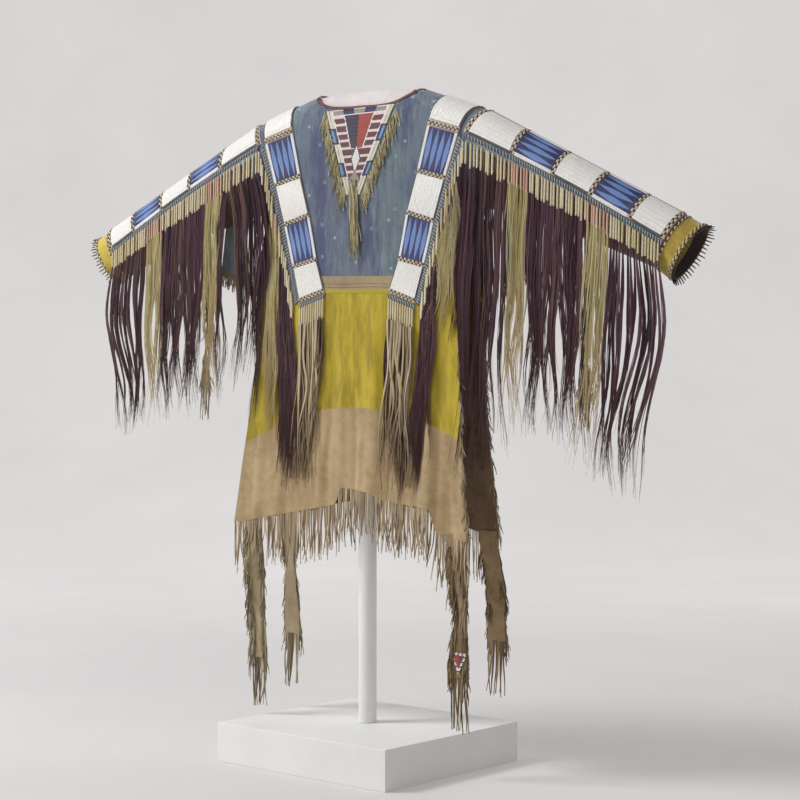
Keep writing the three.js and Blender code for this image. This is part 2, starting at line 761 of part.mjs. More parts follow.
// The four leg pendants: where each hangs from the hem, its middle, its lower end and its tips.
const legRows = [
  { name: "leg_front_right", face: -1, topX: -240, midX: -228, endX: -216, endZ: 192, tipZ: 88 },
  { name: "leg_front_left", face: -1, topX: 262, midX: 278, endX: 279, endZ: 206, tipZ: 98 },
  { name: "leg_back_right", face: 1, topX: -232, midX: -222, endX: -214, endZ: 232, tipZ: 118 },
  { name: "leg_back_left", face: 1, topX: 270, midX: 291, endX: 297, endZ: 270, tipZ: 160 },
];
const legHalf = { hem: 21, upper: 19, middle: 17, lower: 18, end: 20 };

function legPendant({ name, face, topX, midX, endX, endZ }) {
  const hem = face < 0 ? frontHem : backHem;
  const top = read(hem, "across", topX / 290, "z") + 10;
  const middle = (top + endZ) / 2;
  const rows = [
    { x: topX, z: top, half: legHalf.hem },
    { x: topX, z: top - 30, half: legHalf.hem },
    { x: (topX + midX) / 2, z: (top + middle) / 2, half: legHalf.upper },
    { x: midX, z: middle, half: legHalf.middle },
    { x: (midX + endX) / 2, z: (middle + endZ) / 2, half: legHalf.lower },
    { x: endX, z: endZ, half: legHalf.end },
  ];
  return hangingStrip(name, rows, (x, z) => legDepth(x, z, face), face, finishes.tanHide);
}

// A leg hangs just behind the hide of the skirt and stays at that depth below it.
function legDepth(x, z, face) {
  return onBody(x, Math.max(z, 470), face).p.y - face * (hide + 1.4);
}

function legFringe({ name, face, endX, endZ, tipZ }) {
  const row = { x: endX, z: endZ, half: legHalf.end };
  return stripEnd(`${name}_fringe`, row, legDepth(endX, endZ, face), face, 5, tipZ);
}

function beadTriangle(name) {
  const leg = legRows[1];
  const y = legDepth(leg.endX, leg.endZ, leg.face) - hide / 2 - lift;
  const outline = new THREE.Shape();
  outline.moveTo(-18, 18);
  outline.lineTo(0, -19);
  outline.lineTo(18, 18);
  outline.closePath();
  const geometry = new THREE.ExtrudeGeometry(outline, { depth: 1.6, bevelEnabled: false });
  const mesh = new THREE.Mesh(geometry, finishes.wool.clone());
  mesh.name = name;
  mesh.rotation.x = 90 * degrees;
  mesh.position.set(leg.endX, y, 236);
  return mesh;
}

// Just below the sleeve, along its lowest line.
const sleeveLowRows = steps(240, 750, 20).map((x) => {
  const low = onSleeve(x, 180, -1).p;
  return { x: low.x, z: low.z - hide / 2 - seam - 0.1 };
});
const sleeveUnderside = (x) => read(sleeveLowRows, "x", x, "z");
const flap = { start: 320, width: 63, low: 972, rise: 0.4 };
const flapEdge = (x) => flap.low + (x - flap.start) * flap.rise;

// The open inner end of the sleeve hangs down beside the body as a flap.
function underarmFlap(name, side) {
  const columns = steps(0, 1, 3).map((share) => flap.start + flap.width * share);
  const grid = [0, 0.33, 0.66, 1].map((share) => columns.map((x) => {
    const top = sleeveUnderside(x);
    const z = top + (flapEdge(x) - top) * share;
    const px = x + 6 * share;
    const place = { p: new THREE.Vector3(px, -0.4 - 6.6 * share, z), n: new THREE.Vector3(0, -1, 0) };
    return mirrored(place, side);
  }));
  return wall(name, grid, -hide / 2, () => hide / 2, finishes.blueHide);
}

function flapFringe(name, side) {
  const stations = cellShares(6, 0.55).map((share) => {
    const x = flap.start + 6 + share * (flap.width - 1);
    const z = flapEdge(x - 6) - seam;
    const n = new THREE.Vector3(0, -1, 0);
    const at = (height) => ({ p: new THREE.Vector3(side * x, -7, height), n });
    return { top: at(z), bottom: at(z - 5) };
  });
  return fringe(name, stations, hide, (i, first, second) => {
    const x = (first.bottom.p.x + second.bottom.p.x) / 2;
    const z = first.bottom.p.z;
    return [0.2, 1].map((along, k) => ({
      at: new THREE.Vector3(x + side * 3 * along, -7, z - along * (24 + 6 * uneven(i))),
      width: k === 1 ? 2.5 : 5,
      thick: hide,
    }));
  }, -1, finishes.thong);
}

const sleevePendants = [
  { name: "sleeve_pendant_right", side: -1, x: 430, endZ: 746, tipZ: 676 },
  { name: "sleeve_pendant_left", side: 1, x: 512, endZ: 752, tipZ: 688 },
];

function sleevePendant({ name, side, x, endZ }) {
  const half = 12;
  const rise = (side * (sleeveUnderside(x + half) - sleeveUnderside(x - half))) / 2;
  const top = (sleeveUnderside(x + half) + sleeveUnderside(x - half)) / 2;
  const rows = [0, 0.3, 0.65, 1].map((share) => ({
    x: side * x,
    z: THREE.MathUtils.lerp(top, endZ, share),
    half: half + 3 * share,
    rise: share === 0 ? rise : 0,
  }));
  return hangingStrip(name, rows, () => 0, -1, finishes.tanHide);
}

// ---- Stand --------------------------------------------------------------------------------------
const formGap = { top: 1.5, side: 2.4, neck: 1.8 }; // from the middle of the hide to the form
const formUnderside = 1100;

// Depth of the form below its widest line: the chest is deep and the arms are round.
const formRows = [
  { x: 0, below: 285 },
  { x: 105, below: 285 },
  { x: 165, below: 240 },
  { x: 190, below: 165 },
  { x: 215, below: 105 },
  { x: 240, below: 62 },
  { x: 269, below: 42 },
  { x: 735, below: 36 },
];

function formRing(x, side, size) {
  const arm = x > sleeveStart;
  return steps(0, 360, 12).slice(0, 12).map((angle) => {
    const turn = angle * degrees;
    const face = angle <= 180 ? -1 : 1;
    const upper = Math.cos(turn) >= -1e-9;
    const tall = arm ? read(sleeveRows, "x", x, "crown") : crown;
    const inNeck = x < 140 ? formGap.neck : 0;
    const deep = (arm ? read(sleeveRows, "x", x, "depth") : shoulderDepth) - formGap.side - inNeck;
    const lean = arm ? read(sleeveRows, "x", x, "lean") * degrees : 0;
    const top = arm ? read(sleeveRows, "x", x, "z") : ridge(x);
    const round = Math.min(1, Math.abs(Math.sin(turn)) * 3);
    const gap = THREE.MathUtils.lerp(formGap.top, formGap.side, round) + inNeck;
    const height = (upper ? tall - gap : read(formRows, "x", x, "below")) * size;
    const down = tall - height * Math.cos(turn);
    const y = face * Math.abs(Math.sin(turn)) * deep * size;
    const z = Math.max(top - down * Math.cos(lean), arm ? 0 : formUnderside);
    return new THREE.Vector3(side * (x - down * Math.sin(lean)), y, z);
  });
}

function paddedForm(name) {
  const half = [
    { x: 60, size: 1 },
    { x: 105, size: 1 },
    { x: 132, size: 1 },
    { x: 165, size: 1 },
    { x: 190, size: 1 },
    { x: 215, size: 1 },
    { x: 240, size: 1 },
    { x: 266, size: 1 },
    { x: 284.5, size: 1 },
    { x: 350, size: 1 },
    { x: 430, size: 1 },
    { x: 520, size: 1 },
    { x: 610, size: 1 },
    { x: 690, size: 1 },
    { x: 718, size: 0.98 },
    { x: 726, size: 0.86 },
    { x: 730, size: 0.6 },
  ];
  const rings = [
    ...half.map(({ x, size }) => formRing(x, -1, size)).reverse(),
    formRing(0, 1, 1),
    ...half.map(({ x, size }) => formRing(x, 1, size)),
  ];
  // Rings on the two sides run the same way round, front first.
  return loft(name, rings, finishes.form);
}

function plinthBlock(name) {
  const w = plinth.width / 2 - plinth.edge;
  const d = plinth.depth / 2 - plinth.edge;
  const outline = new THREE.Shape();
  outline.moveTo(-w, -d);
  outline.lineTo(w, -d);
  outline.lineTo(w, d);
  outline.lineTo(-w, d);
  outline.closePath();
  const geometry = new THREE.ExtrudeGeometry(outline, {
    depth: plinth.height - 2 * plinth.edge,
    bevelThickness: plinth.edge,
    bevelSize: plinth.edge,
    bevelSegments: 2,
  });
  const mesh = new THREE.Mesh(geometry, finishes.stand.clone());
  mesh.name = name;
  mesh.position.z = plinth.edge;
  mesh.rotation.z = plinth.turn * degrees;
  return mesh;
}

function postTube(name, top) {
  const bottom = plinth.height + seam;
  const geometry = new THREE.CylinderGeometry(post.radius, post.radius, top - bottom, post.sides);
  const mesh = new THREE.Mesh(geometry, finishes.stand.clone());
  mesh.name = name;
  mesh.rotation.x = 90 * degrees;
  mesh.position.z = (top + bottom) / 2;
  return mesh;
}

// ---- Assembly -----------------------------------------------------------------------------------
const shirt = new THREE.Group();
shirt.add(
  paddedForm("padded_form"),
  neckBinding(),
  yoke("yoke_front", -1),
  yoke("yoke_back", 1),
  waistBand("waist_band_front", -1),
  waistBand("waist_band_back", 1),
  skirt("skirt_front", -1, frontHem),
  skirt("skirt_back", 1, backHem),
  bib("bib"),
  bibFringe("bib_fringe"),
  hemFringe("hem_fringe_front_right", frontHem, -1, -0.11, 12, -1),
  hemFringe("hem_fringe_front_middle", frontHem, -0.075, 0.71, 11, -1),
  hemFringe("hem_fringe_front_left", frontHem, 0.74, 1, 4, -1),
  hemFringe("hem_fringe_back", backHem, -1, 1, 22, 1),
  beadTriangle("bead_triangle"),
);
for (const [hand, side] of [["left", 1], ["right", -1]]) {
  shirt.add(
    sleeve(`sleeve_${hand}`, side),
    cuff(`cuff_${hand}`, side),
    sleeveStrip(`sleeve_strip_${hand}`, side),
    shoulderStrip(`shoulder_strip_${hand}`, side),
    sleeveLocks(`sleeve_locks_${hand}`, side),
    chestLocks(`chest_locks_${hand}`, side, -1, 12),
    chestThongs(`chest_thongs_${hand}`, side, -1, 6),
    chestLocks(`back_locks_${hand}`, side, 1, 7),
    chestThongs(`back_thongs_${hand}`, side, 1, 4),
    underarmFlap(`underarm_flap_${hand}`, side),
    flapFringe(`underarm_flap_fringe_${hand}`, side),
  );
}
for (const leg of legRows) {
  shirt.add(legPendant(leg), legFringe(leg));
}
for (const pendant of sleevePendants) {
  const end = { x: pendant.side * pendant.x, z: pendant.endZ, half: 15 };
  shirt.add(
    sleevePendant(pendant),
    stripEnd(`${pendant.name}_thongs`, end, 0, -1, 3, pendant.tipZ),
  );
}

// The whole shirt and its form lean a little to one side about a point in the waist.
const tilt = hang.tilt * degrees;
shirt.rotation.y = tilt;
shirt.position.set(-hang.pivotHeight * Math.sin(tilt), 0, hang.pivotHeight * (1 - Math.cos(tilt)));

const underside = hang.pivotHeight + (formUnderside - hang.pivotHeight) * Math.cos(tilt);
const tiltAcrossPost = post.radius * Math.sin(tilt);

const display = new THREE.Group();
display.add(plinthBlock("plinth"), postTube("post", underside - tiltAcrossPost - seam), shirt);

export default display;
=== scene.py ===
import math

import bpy
import numpy as np
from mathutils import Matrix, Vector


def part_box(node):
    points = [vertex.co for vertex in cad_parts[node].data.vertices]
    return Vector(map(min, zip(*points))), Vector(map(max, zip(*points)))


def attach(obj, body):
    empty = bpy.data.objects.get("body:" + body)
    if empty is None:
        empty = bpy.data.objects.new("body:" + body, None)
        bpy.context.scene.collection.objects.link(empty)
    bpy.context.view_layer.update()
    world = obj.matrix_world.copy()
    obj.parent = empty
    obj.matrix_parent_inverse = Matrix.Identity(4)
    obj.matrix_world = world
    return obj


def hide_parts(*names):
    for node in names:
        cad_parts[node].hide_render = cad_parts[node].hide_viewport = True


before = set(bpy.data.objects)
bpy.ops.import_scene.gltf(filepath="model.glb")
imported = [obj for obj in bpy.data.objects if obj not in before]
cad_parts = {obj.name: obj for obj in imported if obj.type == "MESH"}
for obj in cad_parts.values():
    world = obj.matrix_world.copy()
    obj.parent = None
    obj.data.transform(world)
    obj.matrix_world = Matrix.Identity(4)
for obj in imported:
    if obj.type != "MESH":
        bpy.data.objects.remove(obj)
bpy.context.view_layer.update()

# The tables are in millimetres, in the shirt's own upright frame. toFrame turns their points to
# metres and leans them with the shirt.
mm = 0.001
hang = {"tilt": math.radians(1.75), "pivot": 900}
hide = {"thick": 2.0, "sag": 1.4}
crown = 60  # height over which the hide rounds over the shoulder
shoulderDepth = 45
waist = {"top": 988, "bottom": 952}
neck = {"half": 132, "front": 45, "back": 20}  # half width, and how far each edge dips
faceOf = {"front": -1, "back": 1}
sideOf = {"left": 1, "right": -1}

ridgeTable = [  # x, height of the shoulder line
    (0, 1371), (60, 1370), (105, 1366), (132, 1360), (190, 1341), (240, 1324), (283.5, 1309),
]
bodyTable = [  # z, half width, depth in the middle, depth at the side edges
    (470, 294, 55, 56), (665, 267, 47, 50), (780, 257, 42, 45), (870, 247, 40, 41),
    (1000, 250, 39, 32), (1060, 259, 40, 21), (1100, 265.5, 42, 10), (1125, 269.5, 43, 1.4),
    (1309, 283.5, 45, 45),
]
foldTable = {  # x, width, how far it stands out, height where it starts
    -1: [
        (-225, 34, 7, 900), (-160, 26, -5, 800), (-84, 38, 4, 860), (-8, 22, -4, 640),
        (52, 24, 6, 760), (118, 32, -4, 820), (186, 30, 7, 900), (248, 22, -5, 740),
    ],
    1: [
        (-236, 30, -5, 840), (-170, 36, 6, 900), (-92, 28, -4, 760), (-20, 40, 6, 880),
        (66, 26, -5, 720), (140, 34, 5, 860), (222, 30, 7, 900),
    ],
}
creaseTable = {  # top x and z, low x and z, half width, how far it stands out
    -1: [
        (-262, 880, -276, 520, 9, 2.4), (-236, 700, -250, 500, 7, -2.2), (-196, 860, -190, 560, 8, -2.6),
        (-140, 760, -150, 540, 7, 2.0), (-112, 900, -104, 640, 9, -2.0), (-62, 720, -70, 548, 6, 2.2),
        (-30, 880, -22, 600, 8, 2.4), (4, 800, 14, 575, 7, -3.0), (34, 720, 22, 566, 6, 2.6),
        (60, 900, 74, 640, 8, -2.4), (96, 760, 86, 560, 6, 2.2), (142, 880, 150, 600, 9, 2.6),
        (176, 700, 168, 545, 6, -2.4), (206, 860, 216, 520, 8, -3.0), (232, 640, 262, 500, 6, 2.6),
        (270, 820, 280, 540, 7, 2.2), (214, 600, 282, 512, 5, 1.8), (-40, 640, 10, 590, 5, 1.4),
        (120, 660, 160, 600, 5, -1.4), (-150, 620, -210, 560, 5, 1.6),
        (48, 980, 54, 540, 17, 4.0), (84, 960, 90, 540, 12, -3.4), (-56, 900, -52, 520, 10, -3.6),
        (196, 900, 200, 480, 12, 3.8), (170, 900, 172, 500, 9, -3.4), (246, 760, 250, 470, 13, -3.4),
        (-206, 900, -214, 470, 15, -3.6), (-170, 880, -176, 470, 14, 3.2),
    ],
    1: [
        (-260, 860, -272, 520, 8, -2.4), (-214, 880, -204, 560, 9, 2.4), (-146, 740, -150, 540, 7, -2.2),
        (-120, 900, -112, 620, 8, 2.6), (-56, 700, -62, 556, 6, -2.0), (8, 860, 2, 580, 9, -2.6),
        (40, 760, 46, 560, 6, 2.4), (98, 900, 104, 600, 9, 2.0), (166, 720, 176, 540, 7, -2.8),
        (196, 880, 190, 560, 8, 2.2), (250, 800, 262, 520, 7, -2.4), (-30, 640, 30, 590, 5, 1.6),
        (180, 620, 240, 560, 5, 1.4),
    ],
}
hemTable = {  # share of the half width, height of the hem
    -1: [
        (-1, 470), (-0.86, 477), (-0.7, 488), (-0.52, 499), (-0.31, 511), (-0.11, 524),
        (-0.075, 559), (0.04, 557), (0.18, 553), (0.29, 539), (0.48, 534), (0.71, 530),
        (0.74, 484), (0.87, 476), (1, 470),
    ],
    1: [
        (-1, 474), (-0.8, 484), (-0.6, 497), (-0.42, 512), (-0.2, 526), (0, 531), (0.2, 525),
        (0.42, 513), (0.6, 498), (0.8, 483), (1, 472),
    ],
}
sleeveTable = [  # x, z of the top line, length round downwards, lean, half depth, rounded height
    (240, 1324, 200, 2, 45, 60), (283.5, 1309, 184.5, 4.35, 45, 60), (350, 1276, 166, 10, 44, 55),
    (430, 1236, 147, 16, 42, 51), (520, 1191, 131, 21, 40, 50), (610, 1146, 119, 25, 38, 53),
    (690, 1106, 111, 28, 36, 57), (715, 1094, 110, 29, 36, 58), (752, 1075, 117, 33, 38, 60),
]
sleeveEnds = {"start": 283.9, "cuff": 715, "mouth": 752}
stripLow = 84  # angle round the sleeve where its beaded strip ends
sleeveRopes = [291, 374, 466, 550, 636, 707.5]
shoulderTable = [  # row, inner x and z, outer x and z: the shoulder line, then each rope
    (0, 190, 1341, 268, 1314), (1, 168, 1282, 240, 1262), (2, 145, 1190, 211, 1173),
    (3, 121, 1109, 186, 1090), (4, 102, 1018, 163, 1003), (5, 80, 954, 144, 932),
]
bibSize = {"topZ": 1322, "lowZ": 1152, "topMid": 2, "lowMid": -11, "topHalf": 84, "lowHalf": 17}


def readTable(table, column, at, soften=0):
    keys = [row[0] for row in table]
    values = [row[column] for row in table]
    spread = (-1, -0.5, 0, 0.5, 1)
    return sum(np.interp(np.asarray(at, float) + soften * s, keys, values) for s in spread) / len(spread)


def smoothStep(t):
    t = np.clip(t, 0, 1)
    return t * t * (3 - 2 * t)


def mix(a, b, share):
    return a + (b - a) * share


def toFrame(points):
    p = np.asarray(points, float)
    c, s = math.cos(hang["tilt"]), math.sin(hang["tilt"])
    x, up = p[..., 0], p[..., 2] - hang["pivot"]
    return np.stack([x * c + up * s, p[..., 1], hang["pivot"] - x * s + up * c], -1) * mm


def uneven(count, seed):
    return np.random.default_rng(seed).random(count)


def unit(v):
    return v / np.maximum(np.linalg.norm(v, axis=-1, keepdims=True), 1e-9)


def sideways(x):
    return np.stack([x, np.zeros(len(x)), np.zeros(len(x))], -1)


def evenly(count):
    return (np.arange(count) + 0.5) / count


def facing(face, count):
    # one direction straight out of the front or the back for each of count copies
    return np.tile([0, float(face), 0], (count, 1))


def same(value):
    # a rise that is the same all over a sheet
    return lambda u, v: np.full(len(u), value)


# Surfaces of the shirt: each gives places and the directions that point out of it.
def ridge(x):
    return readTable(ridgeTable, 1, np.abs(x), 8)


def halfWidth(z):
    return readTable(bodyTable, 1, z, 12)


def edgeDepth(z):
    widest = ridgeTable[-1][1] - crown
    low = bodyTable[-2][0]
    share = np.clip((widest - z) / (widest - low), 0, 1)
    armhole = np.maximum(bodyTable[-2][3], shoulderDepth * np.sqrt(np.maximum(0, 1 - share ** 2)))
    return np.where(z > low, armhole, readTable(bodyTable, 3, np.minimum(z, low)))


def bodyDepth(x, z, face):
    toEdge = smoothStep((np.abs(x) / halfWidth(z) - 0.8) / 0.2)
    middle = readTable(bodyTable, 2, z, 12)
    depth = mix(middle, edgeDepth(z), toEdge)
    for place, width, out, top in foldTable[face]:
        near = np.clip(1 - np.abs(x - place) / (width * 1.6), 0, 1)
        depth = depth + out * smoothStep(near) * smoothStep((top - z) / (top - 470))
    for topX, topZ, lowX, lowZ, width, out in creaseTable[face]:
        along = (topZ - z) / (topZ - lowZ)
        middle = mix(topX, lowX, along) + 3 * np.sin(along * 5 + topX)
        fade = smoothStep(along / 0.3) * smoothStep((1.25 - along) / 0.3)
        depth = depth + out * np.exp(-((x - middle) / width) ** 2) * fade
    return depth


def onBody(x, z, face):
    x, z = np.broadcast_arrays(np.asarray(x, float), np.asarray(z, float))
    drop = np.maximum(0, ridge(x) - z)
    depth = bodyDepth(x, z, face)
    turn = np.arccos(np.clip(1 - drop / crown, -1, 1))
    near = drop < crown
    y = face * (0.15 + np.where(near, depth * np.sin(turn), depth))
    slopeZ = (bodyDepth(x, z - 2, face) - bodyDepth(x, z + 2, face)) / 4
    slopeX = (bodyDepth(x - 2, z, face) - bodyDepth(x + 2, z, face)) / 4
    nx = np.where(near, 0, slopeX)
    ny = np.where(near, face * crown * np.sin(turn), face)
    nz = np.where(near, depth * np.cos(turn), slopeZ)
    return np.stack([x, y, z], -1), unit(np.stack([nx, ny, nz], -1))


def onSleeve(x, angle, face):
    x, angle = np.broadcast_arrays(np.asarray(x, float), np.asarray(angle, float))
    top, length, lean, deep, high = (readTable(sleeveTable, c, x, 14) for c in (1, 2, 3, 4, 5))
    lean, turn = np.radians(lean), np.radians(angle)
    height = np.where(angle <= 90, high, length - high)
    down = high - height * np.cos(turn)
    p = np.stack([x - down * np.sin(lean), face * deep * np.sin(turn), top - down * np.cos(lean)], -1)
    up = deep * np.cos(turn)
    return p, unit(np.stack([up * np.sin(lean), face * height * np.sin(turn), up * np.cos(lean)], -1))


def onSide(place, side):
    p, n = place
    flip = np.array([side, 1, 1])
    return p * flip, n * flip


def onStrip(row, inner, side):
    # row goes from -5 at the back end over 0 on the shoulder to 5 at the front end
    row, inner = np.broadcast_arrays(np.asarray(row, float), np.asarray(inner, float))
    far = np.abs(row)
    x = mix(readTable(shoulderTable, 3, far), readTable(shoulderTable, 1, far), inner)
    z = mix(readTable(shoulderTable, 4, far), readTable(shoulderTable, 2, far), inner)
    first = mix(shoulderTable[1][3], shoulderTable[1][1], inner)
    firstZ = mix(shoulderTable[1][4], shoulderTable[1][2], inner)
    bend = ridge(x) - (ridge(first) - firstZ) * (1 - np.cos(np.clip(far, 0, 1) * math.pi / 2))
    z = np.where(far < 1, bend, z)
    front = onBody(x, z, -1)
    back = onBody(x, z, 1)
    isFront = (row >= 0)[..., None]
    return onSide((np.where(isFront, front[0], back[0]), np.where(isFront, front[1], back[1])), side)


def roundSleeve(x, angle, side):
    # angle goes all round from the top line, down the front and up the back
    face = np.where(angle <= 180, -1, 1)
    return onSide(onSleeve(x, np.where(angle <= 180, angle, 360 - angle), face), side)


def stripSlant(x):
    # how far the strip's lower edge leans towards the body, close to the shoulder
    return np.maximum(0, 1 - (x - 284) / 90) * 32


def onSleeveStrip(x, down, side):
    # down goes from 0 on the top of the sleeve to 1 at the strip's lower edge
    x, down = np.broadcast_arrays(np.asarray(x, float), np.asarray(down, float))
    return onSide(onSleeve(x - stripSlant(x) * down, down * stripLow, -1), side)


def hemHeight(share, face):
    return readTable(hemTable[face], 1, share)


def neckEdge(x, face):
    share = np.minimum(1, np.abs(x) / neck["half"])
    return ridge(x) - neck["front" if face < 0 else "back"] * (1 - share ** 4)


# Ways of making pieces
def deselect():
    if bpy.context.object and bpy.context.object.mode != "OBJECT":
        bpy.ops.object.mode_set(mode="OBJECT")
    bpy.ops.object.select_all(action="DESELECT")


def pick(piece):
    deselect()
    piece.select_set(True)
    bpy.context.view_layer.objects.active = piece


def addModifier(piece, kind, **values):
    modifier = piece.modifiers.new(kind.title(), kind)
    for name, value in values.items():
        setattr(modifier, name, value)
    pick(piece)
    bpy.ops.object.modifier_apply(modifier=modifier.name)


def writePoints(mesh, points):
    mesh.vertices.foreach_set("co", np.asarray(points, np.float32).ravel())
    mesh.update()


def readPoints(mesh):
    co = np.zeros(len(mesh.vertices) * 3, np.float32)
    mesh.vertices.foreach_get("co", co)
    return co.reshape(-1, 3).astype(float)


def join(name, pieces):
    deselect()
    for piece in pieces:
        piece.select_set(True)
    bpy.context.view_layer.objects.active = pieces[0]
    bpy.ops.object.join()
    pieces[0].name = name
    pieces[0].data.name = name
    return pieces[0]


def finishPiece(piece, replaces=(), smooth=60):
    pick(piece)
    bpy.ops.object.shade_smooth_by_angle(angle=math.radians(smooth))
    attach(piece, "root")
    if replaces:
        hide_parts(*replaces)
    return piece


def clothGrid(
    name, columns, rows, place, material, thick=hide["thick"], offset=0.0, ring=False, relief=None, inside=None,
):
    # place(u, v) gives a sheet's places and outward directions; relief(u, v) is how far it stands out;
    # inside is the material of the face that lies against the form
    deselect()
    bpy.ops.mesh.primitive_grid_add(x_subdivisions=columns, y_subdivisions=rows, size=2)
    piece = bpy.context.object
    piece.name = name
    piece.data.name = name
    share = (readPoints(piece.data)[:, :2] + 1) / 2
    points, out = place(share[:, 0], 1 - share[:, 1])
    if relief is not None:
        points = points + out * relief(share[:, 0], 1 - share[:, 1])[:, None]
    writePoints(piece.data, toFrame(points))
    if ring:
        pick(piece)
        bpy.ops.object.mode_set(mode="EDIT")
        bpy.ops.mesh.select_all(action="SELECT")
        bpy.ops.mesh.remove_doubles(threshold=0.02 * mm)
        bpy.ops.object.mode_set(mode="OBJECT")
    ups = np.zeros(len(piece.data.vertices) * 3, np.float32)
    piece.data.vertices.foreach_get("normal", ups)
    if not ring and (ups.reshape(-1, 3) * out).sum() < 0:
        pick(piece)
        bpy.ops.object.mode_set(mode="EDIT")
        bpy.ops.mesh.select_all(action="SELECT")
        bpy.ops.mesh.flip_normals()
        bpy.ops.object.mode_set(mode="OBJECT")
    piece.data.materials.append(material)
    if inside:
        piece.data.materials.append(inside)
    if thick:
        addModifier(piece, "SOLIDIFY", thickness=thick * mm, offset=offset, material_offset=1 if inside else 0)
    return piece


forms = {}


def strandForm(ringSides, segments):
    # one upright strand of unit width, its rings a unit apart, as the pattern for all its copies
    if (ringSides, segments) not in forms:
        deselect()
        bpy.ops.mesh.primitive_circle_add(vertices=ringSides, radius=0.5, fill_type="NGON")
        form = bpy.context.object
        bpy.ops.object.mode_set(mode="EDIT")
        bpy.ops.mesh.select_all(action="SELECT")
        if ringSides == 4:
            bpy.ops.transform.rotate(value=math.pi / 4, orient_axis="Z", center_override=(0, 0, 0))
        for _ in range(segments):
            bpy.ops.mesh.extrude_region_move(TRANSFORM_OT_translate={"value": (0, 0, 1)})
        bpy.ops.mesh.select_all(action="SELECT")
        bpy.ops.mesh.normals_make_consistent(inside=False)
        bpy.ops.object.mode_set(mode="OBJECT")
        points = readPoints(form.data)
        polygons = [list(p.vertices) for p in form.data.polygons]
        forms[(ringSides, segments)] = (points, polygons)
        bpy.data.objects.remove(form)
    return forms[(ringSides, segments)]


def copiesOf(name, form, points, material, tones, along=None):
    # points: one row of places for each copy of the form
    shape, polygons = form
    count, size = len(points), len(shape)
    mesh = bpy.data.meshes.new(name)
    base = np.arange(count) * size
    allFaces = [[v + b for v in polygon] for b in base.tolist() for polygon in polygons]
    mesh.from_pydata(toFrame(points.reshape(-1, 3)).tolist(), [], allFaces)
    tone = mesh.attributes.new("tone", "FLOAT", "POINT")
    tone.data.foreach_set("value", np.repeat(np.asarray(tones, np.float32), size))
    if along is not None:
        run = mesh.attributes.new("along", "FLOAT", "POINT")
        run.data.foreach_set("value", np.asarray(along, np.float32).ravel())
    mesh.materials.append(material)
    piece = bpy.data.objects.new(name, mesh)
    bpy.context.scene.collection.objects.link(piece)
    return piece


def strands(name, routes, width, thick, outward, material, ringSides=4, twist=None, tones=None):
    # routes: places (copies, rings, 3); width and thick: a value for each ring of each copy
    routes = np.asarray(routes, float)
    count, rings = routes.shape[:2]
    form = strandForm(ringSides, rings - 1)
    shape = form[0]
    width = np.broadcast_to(np.asarray(width, float), (count, rings))
    thick = np.broadcast_to(np.asarray(thick, float), (count, rings))
    way = unit(np.gradient(routes, axis=1))
    out = np.broadcast_to(np.asarray(outward, float), (count, 3))[:, None, :] * np.ones((1, rings, 1))
    across = unit(np.cross(way, out))
    out = unit(np.cross(across, way))
    if twist is not None:
        turn = np.asarray(twist, float)[..., None] * np.ones((count, rings, 1))
        across, out = across * np.cos(turn) + out * np.sin(turn), out * np.cos(turn) - across * np.sin(turn)
    ring = np.rint(shape[:, 2]).astype(int)
    points = (
        routes[:, ring]
        - across[:, ring] * (shape[:, 0] * width[:, ring])[..., None]
        + out[:, ring] * (shape[:, 1] * thick[:, ring])[..., None]
    )
    tones = uneven(count, 5) if tones is None else tones
    along = np.broadcast_to(shape[:, 2] / (rings - 1), (count, len(shape)))
    return copiesOf(name, form, points, material, tones, along)


def beadForm():
    if "bead" not in forms:
        deselect()
        bpy.ops.mesh.primitive_uv_sphere_add(segments=6, ring_count=4, radius=0.5)
        form = bpy.context.object
        forms["bead"] = (readPoints(form.data), [list(p.vertices) for p in form.data.polygons])
        bpy.data.objects.remove(form)
    return forms["bead"]


def beads(name, centres, along, out, sizes, material, tones):
    # sizes: length, width and height of each bead, along its own directions
    shape = beadForm()[0]
    centres, along, out = (np.asarray(v, float) for v in (centres, along, out))
    sizes = np.broadcast_to(np.asarray(sizes, float), (len(centres), 3))
    along = unit(along)
    across = unit(np.cross(out, along))
    out = unit(np.cross(along, across))
    full = np.sign(shape) * np.abs(shape * 2) ** 0.75 / 2  # fuller than a plain ball
    points = centres[:, None] + (
        full[None, :, 2:3] * (along * sizes[:, :1])[:, None]
        + full[None, :, 0:1] * (across * sizes[:, 1:2])[:, None]
        + full[None, :, 1:2] * (out * sizes[:, 2:3])[:, None]
    )
    return copiesOf(name, beadForm(), points, material, tones)


# Shader groups
def newGroup(name, size, start):
    # a group with a vector and one size that gives a tone and a height
    group = bpy.data.node_groups.new(name, "ShaderNodeTree")
    group.interface.new_socket(name="Vector", in_out="INPUT", socket_type="NodeSocketVector")
    group.interface.new_socket(name=size, in_out="INPUT", socket_type="NodeSocketFloat").default_value = start
    for label in ("Tone", "Height"):
        group.interface.new_socket(name=label, in_out="OUTPUT", socket_type="NodeSocketFloat")
    return group, group.nodes.new("NodeGroupInput"), group.nodes.new("NodeGroupOutput")


def closeGroup(group, end, tone, height):
    group.links.new(tone, end.inputs["Tone"])
    group.links.new(height, end.inputs["Height"])
    return group


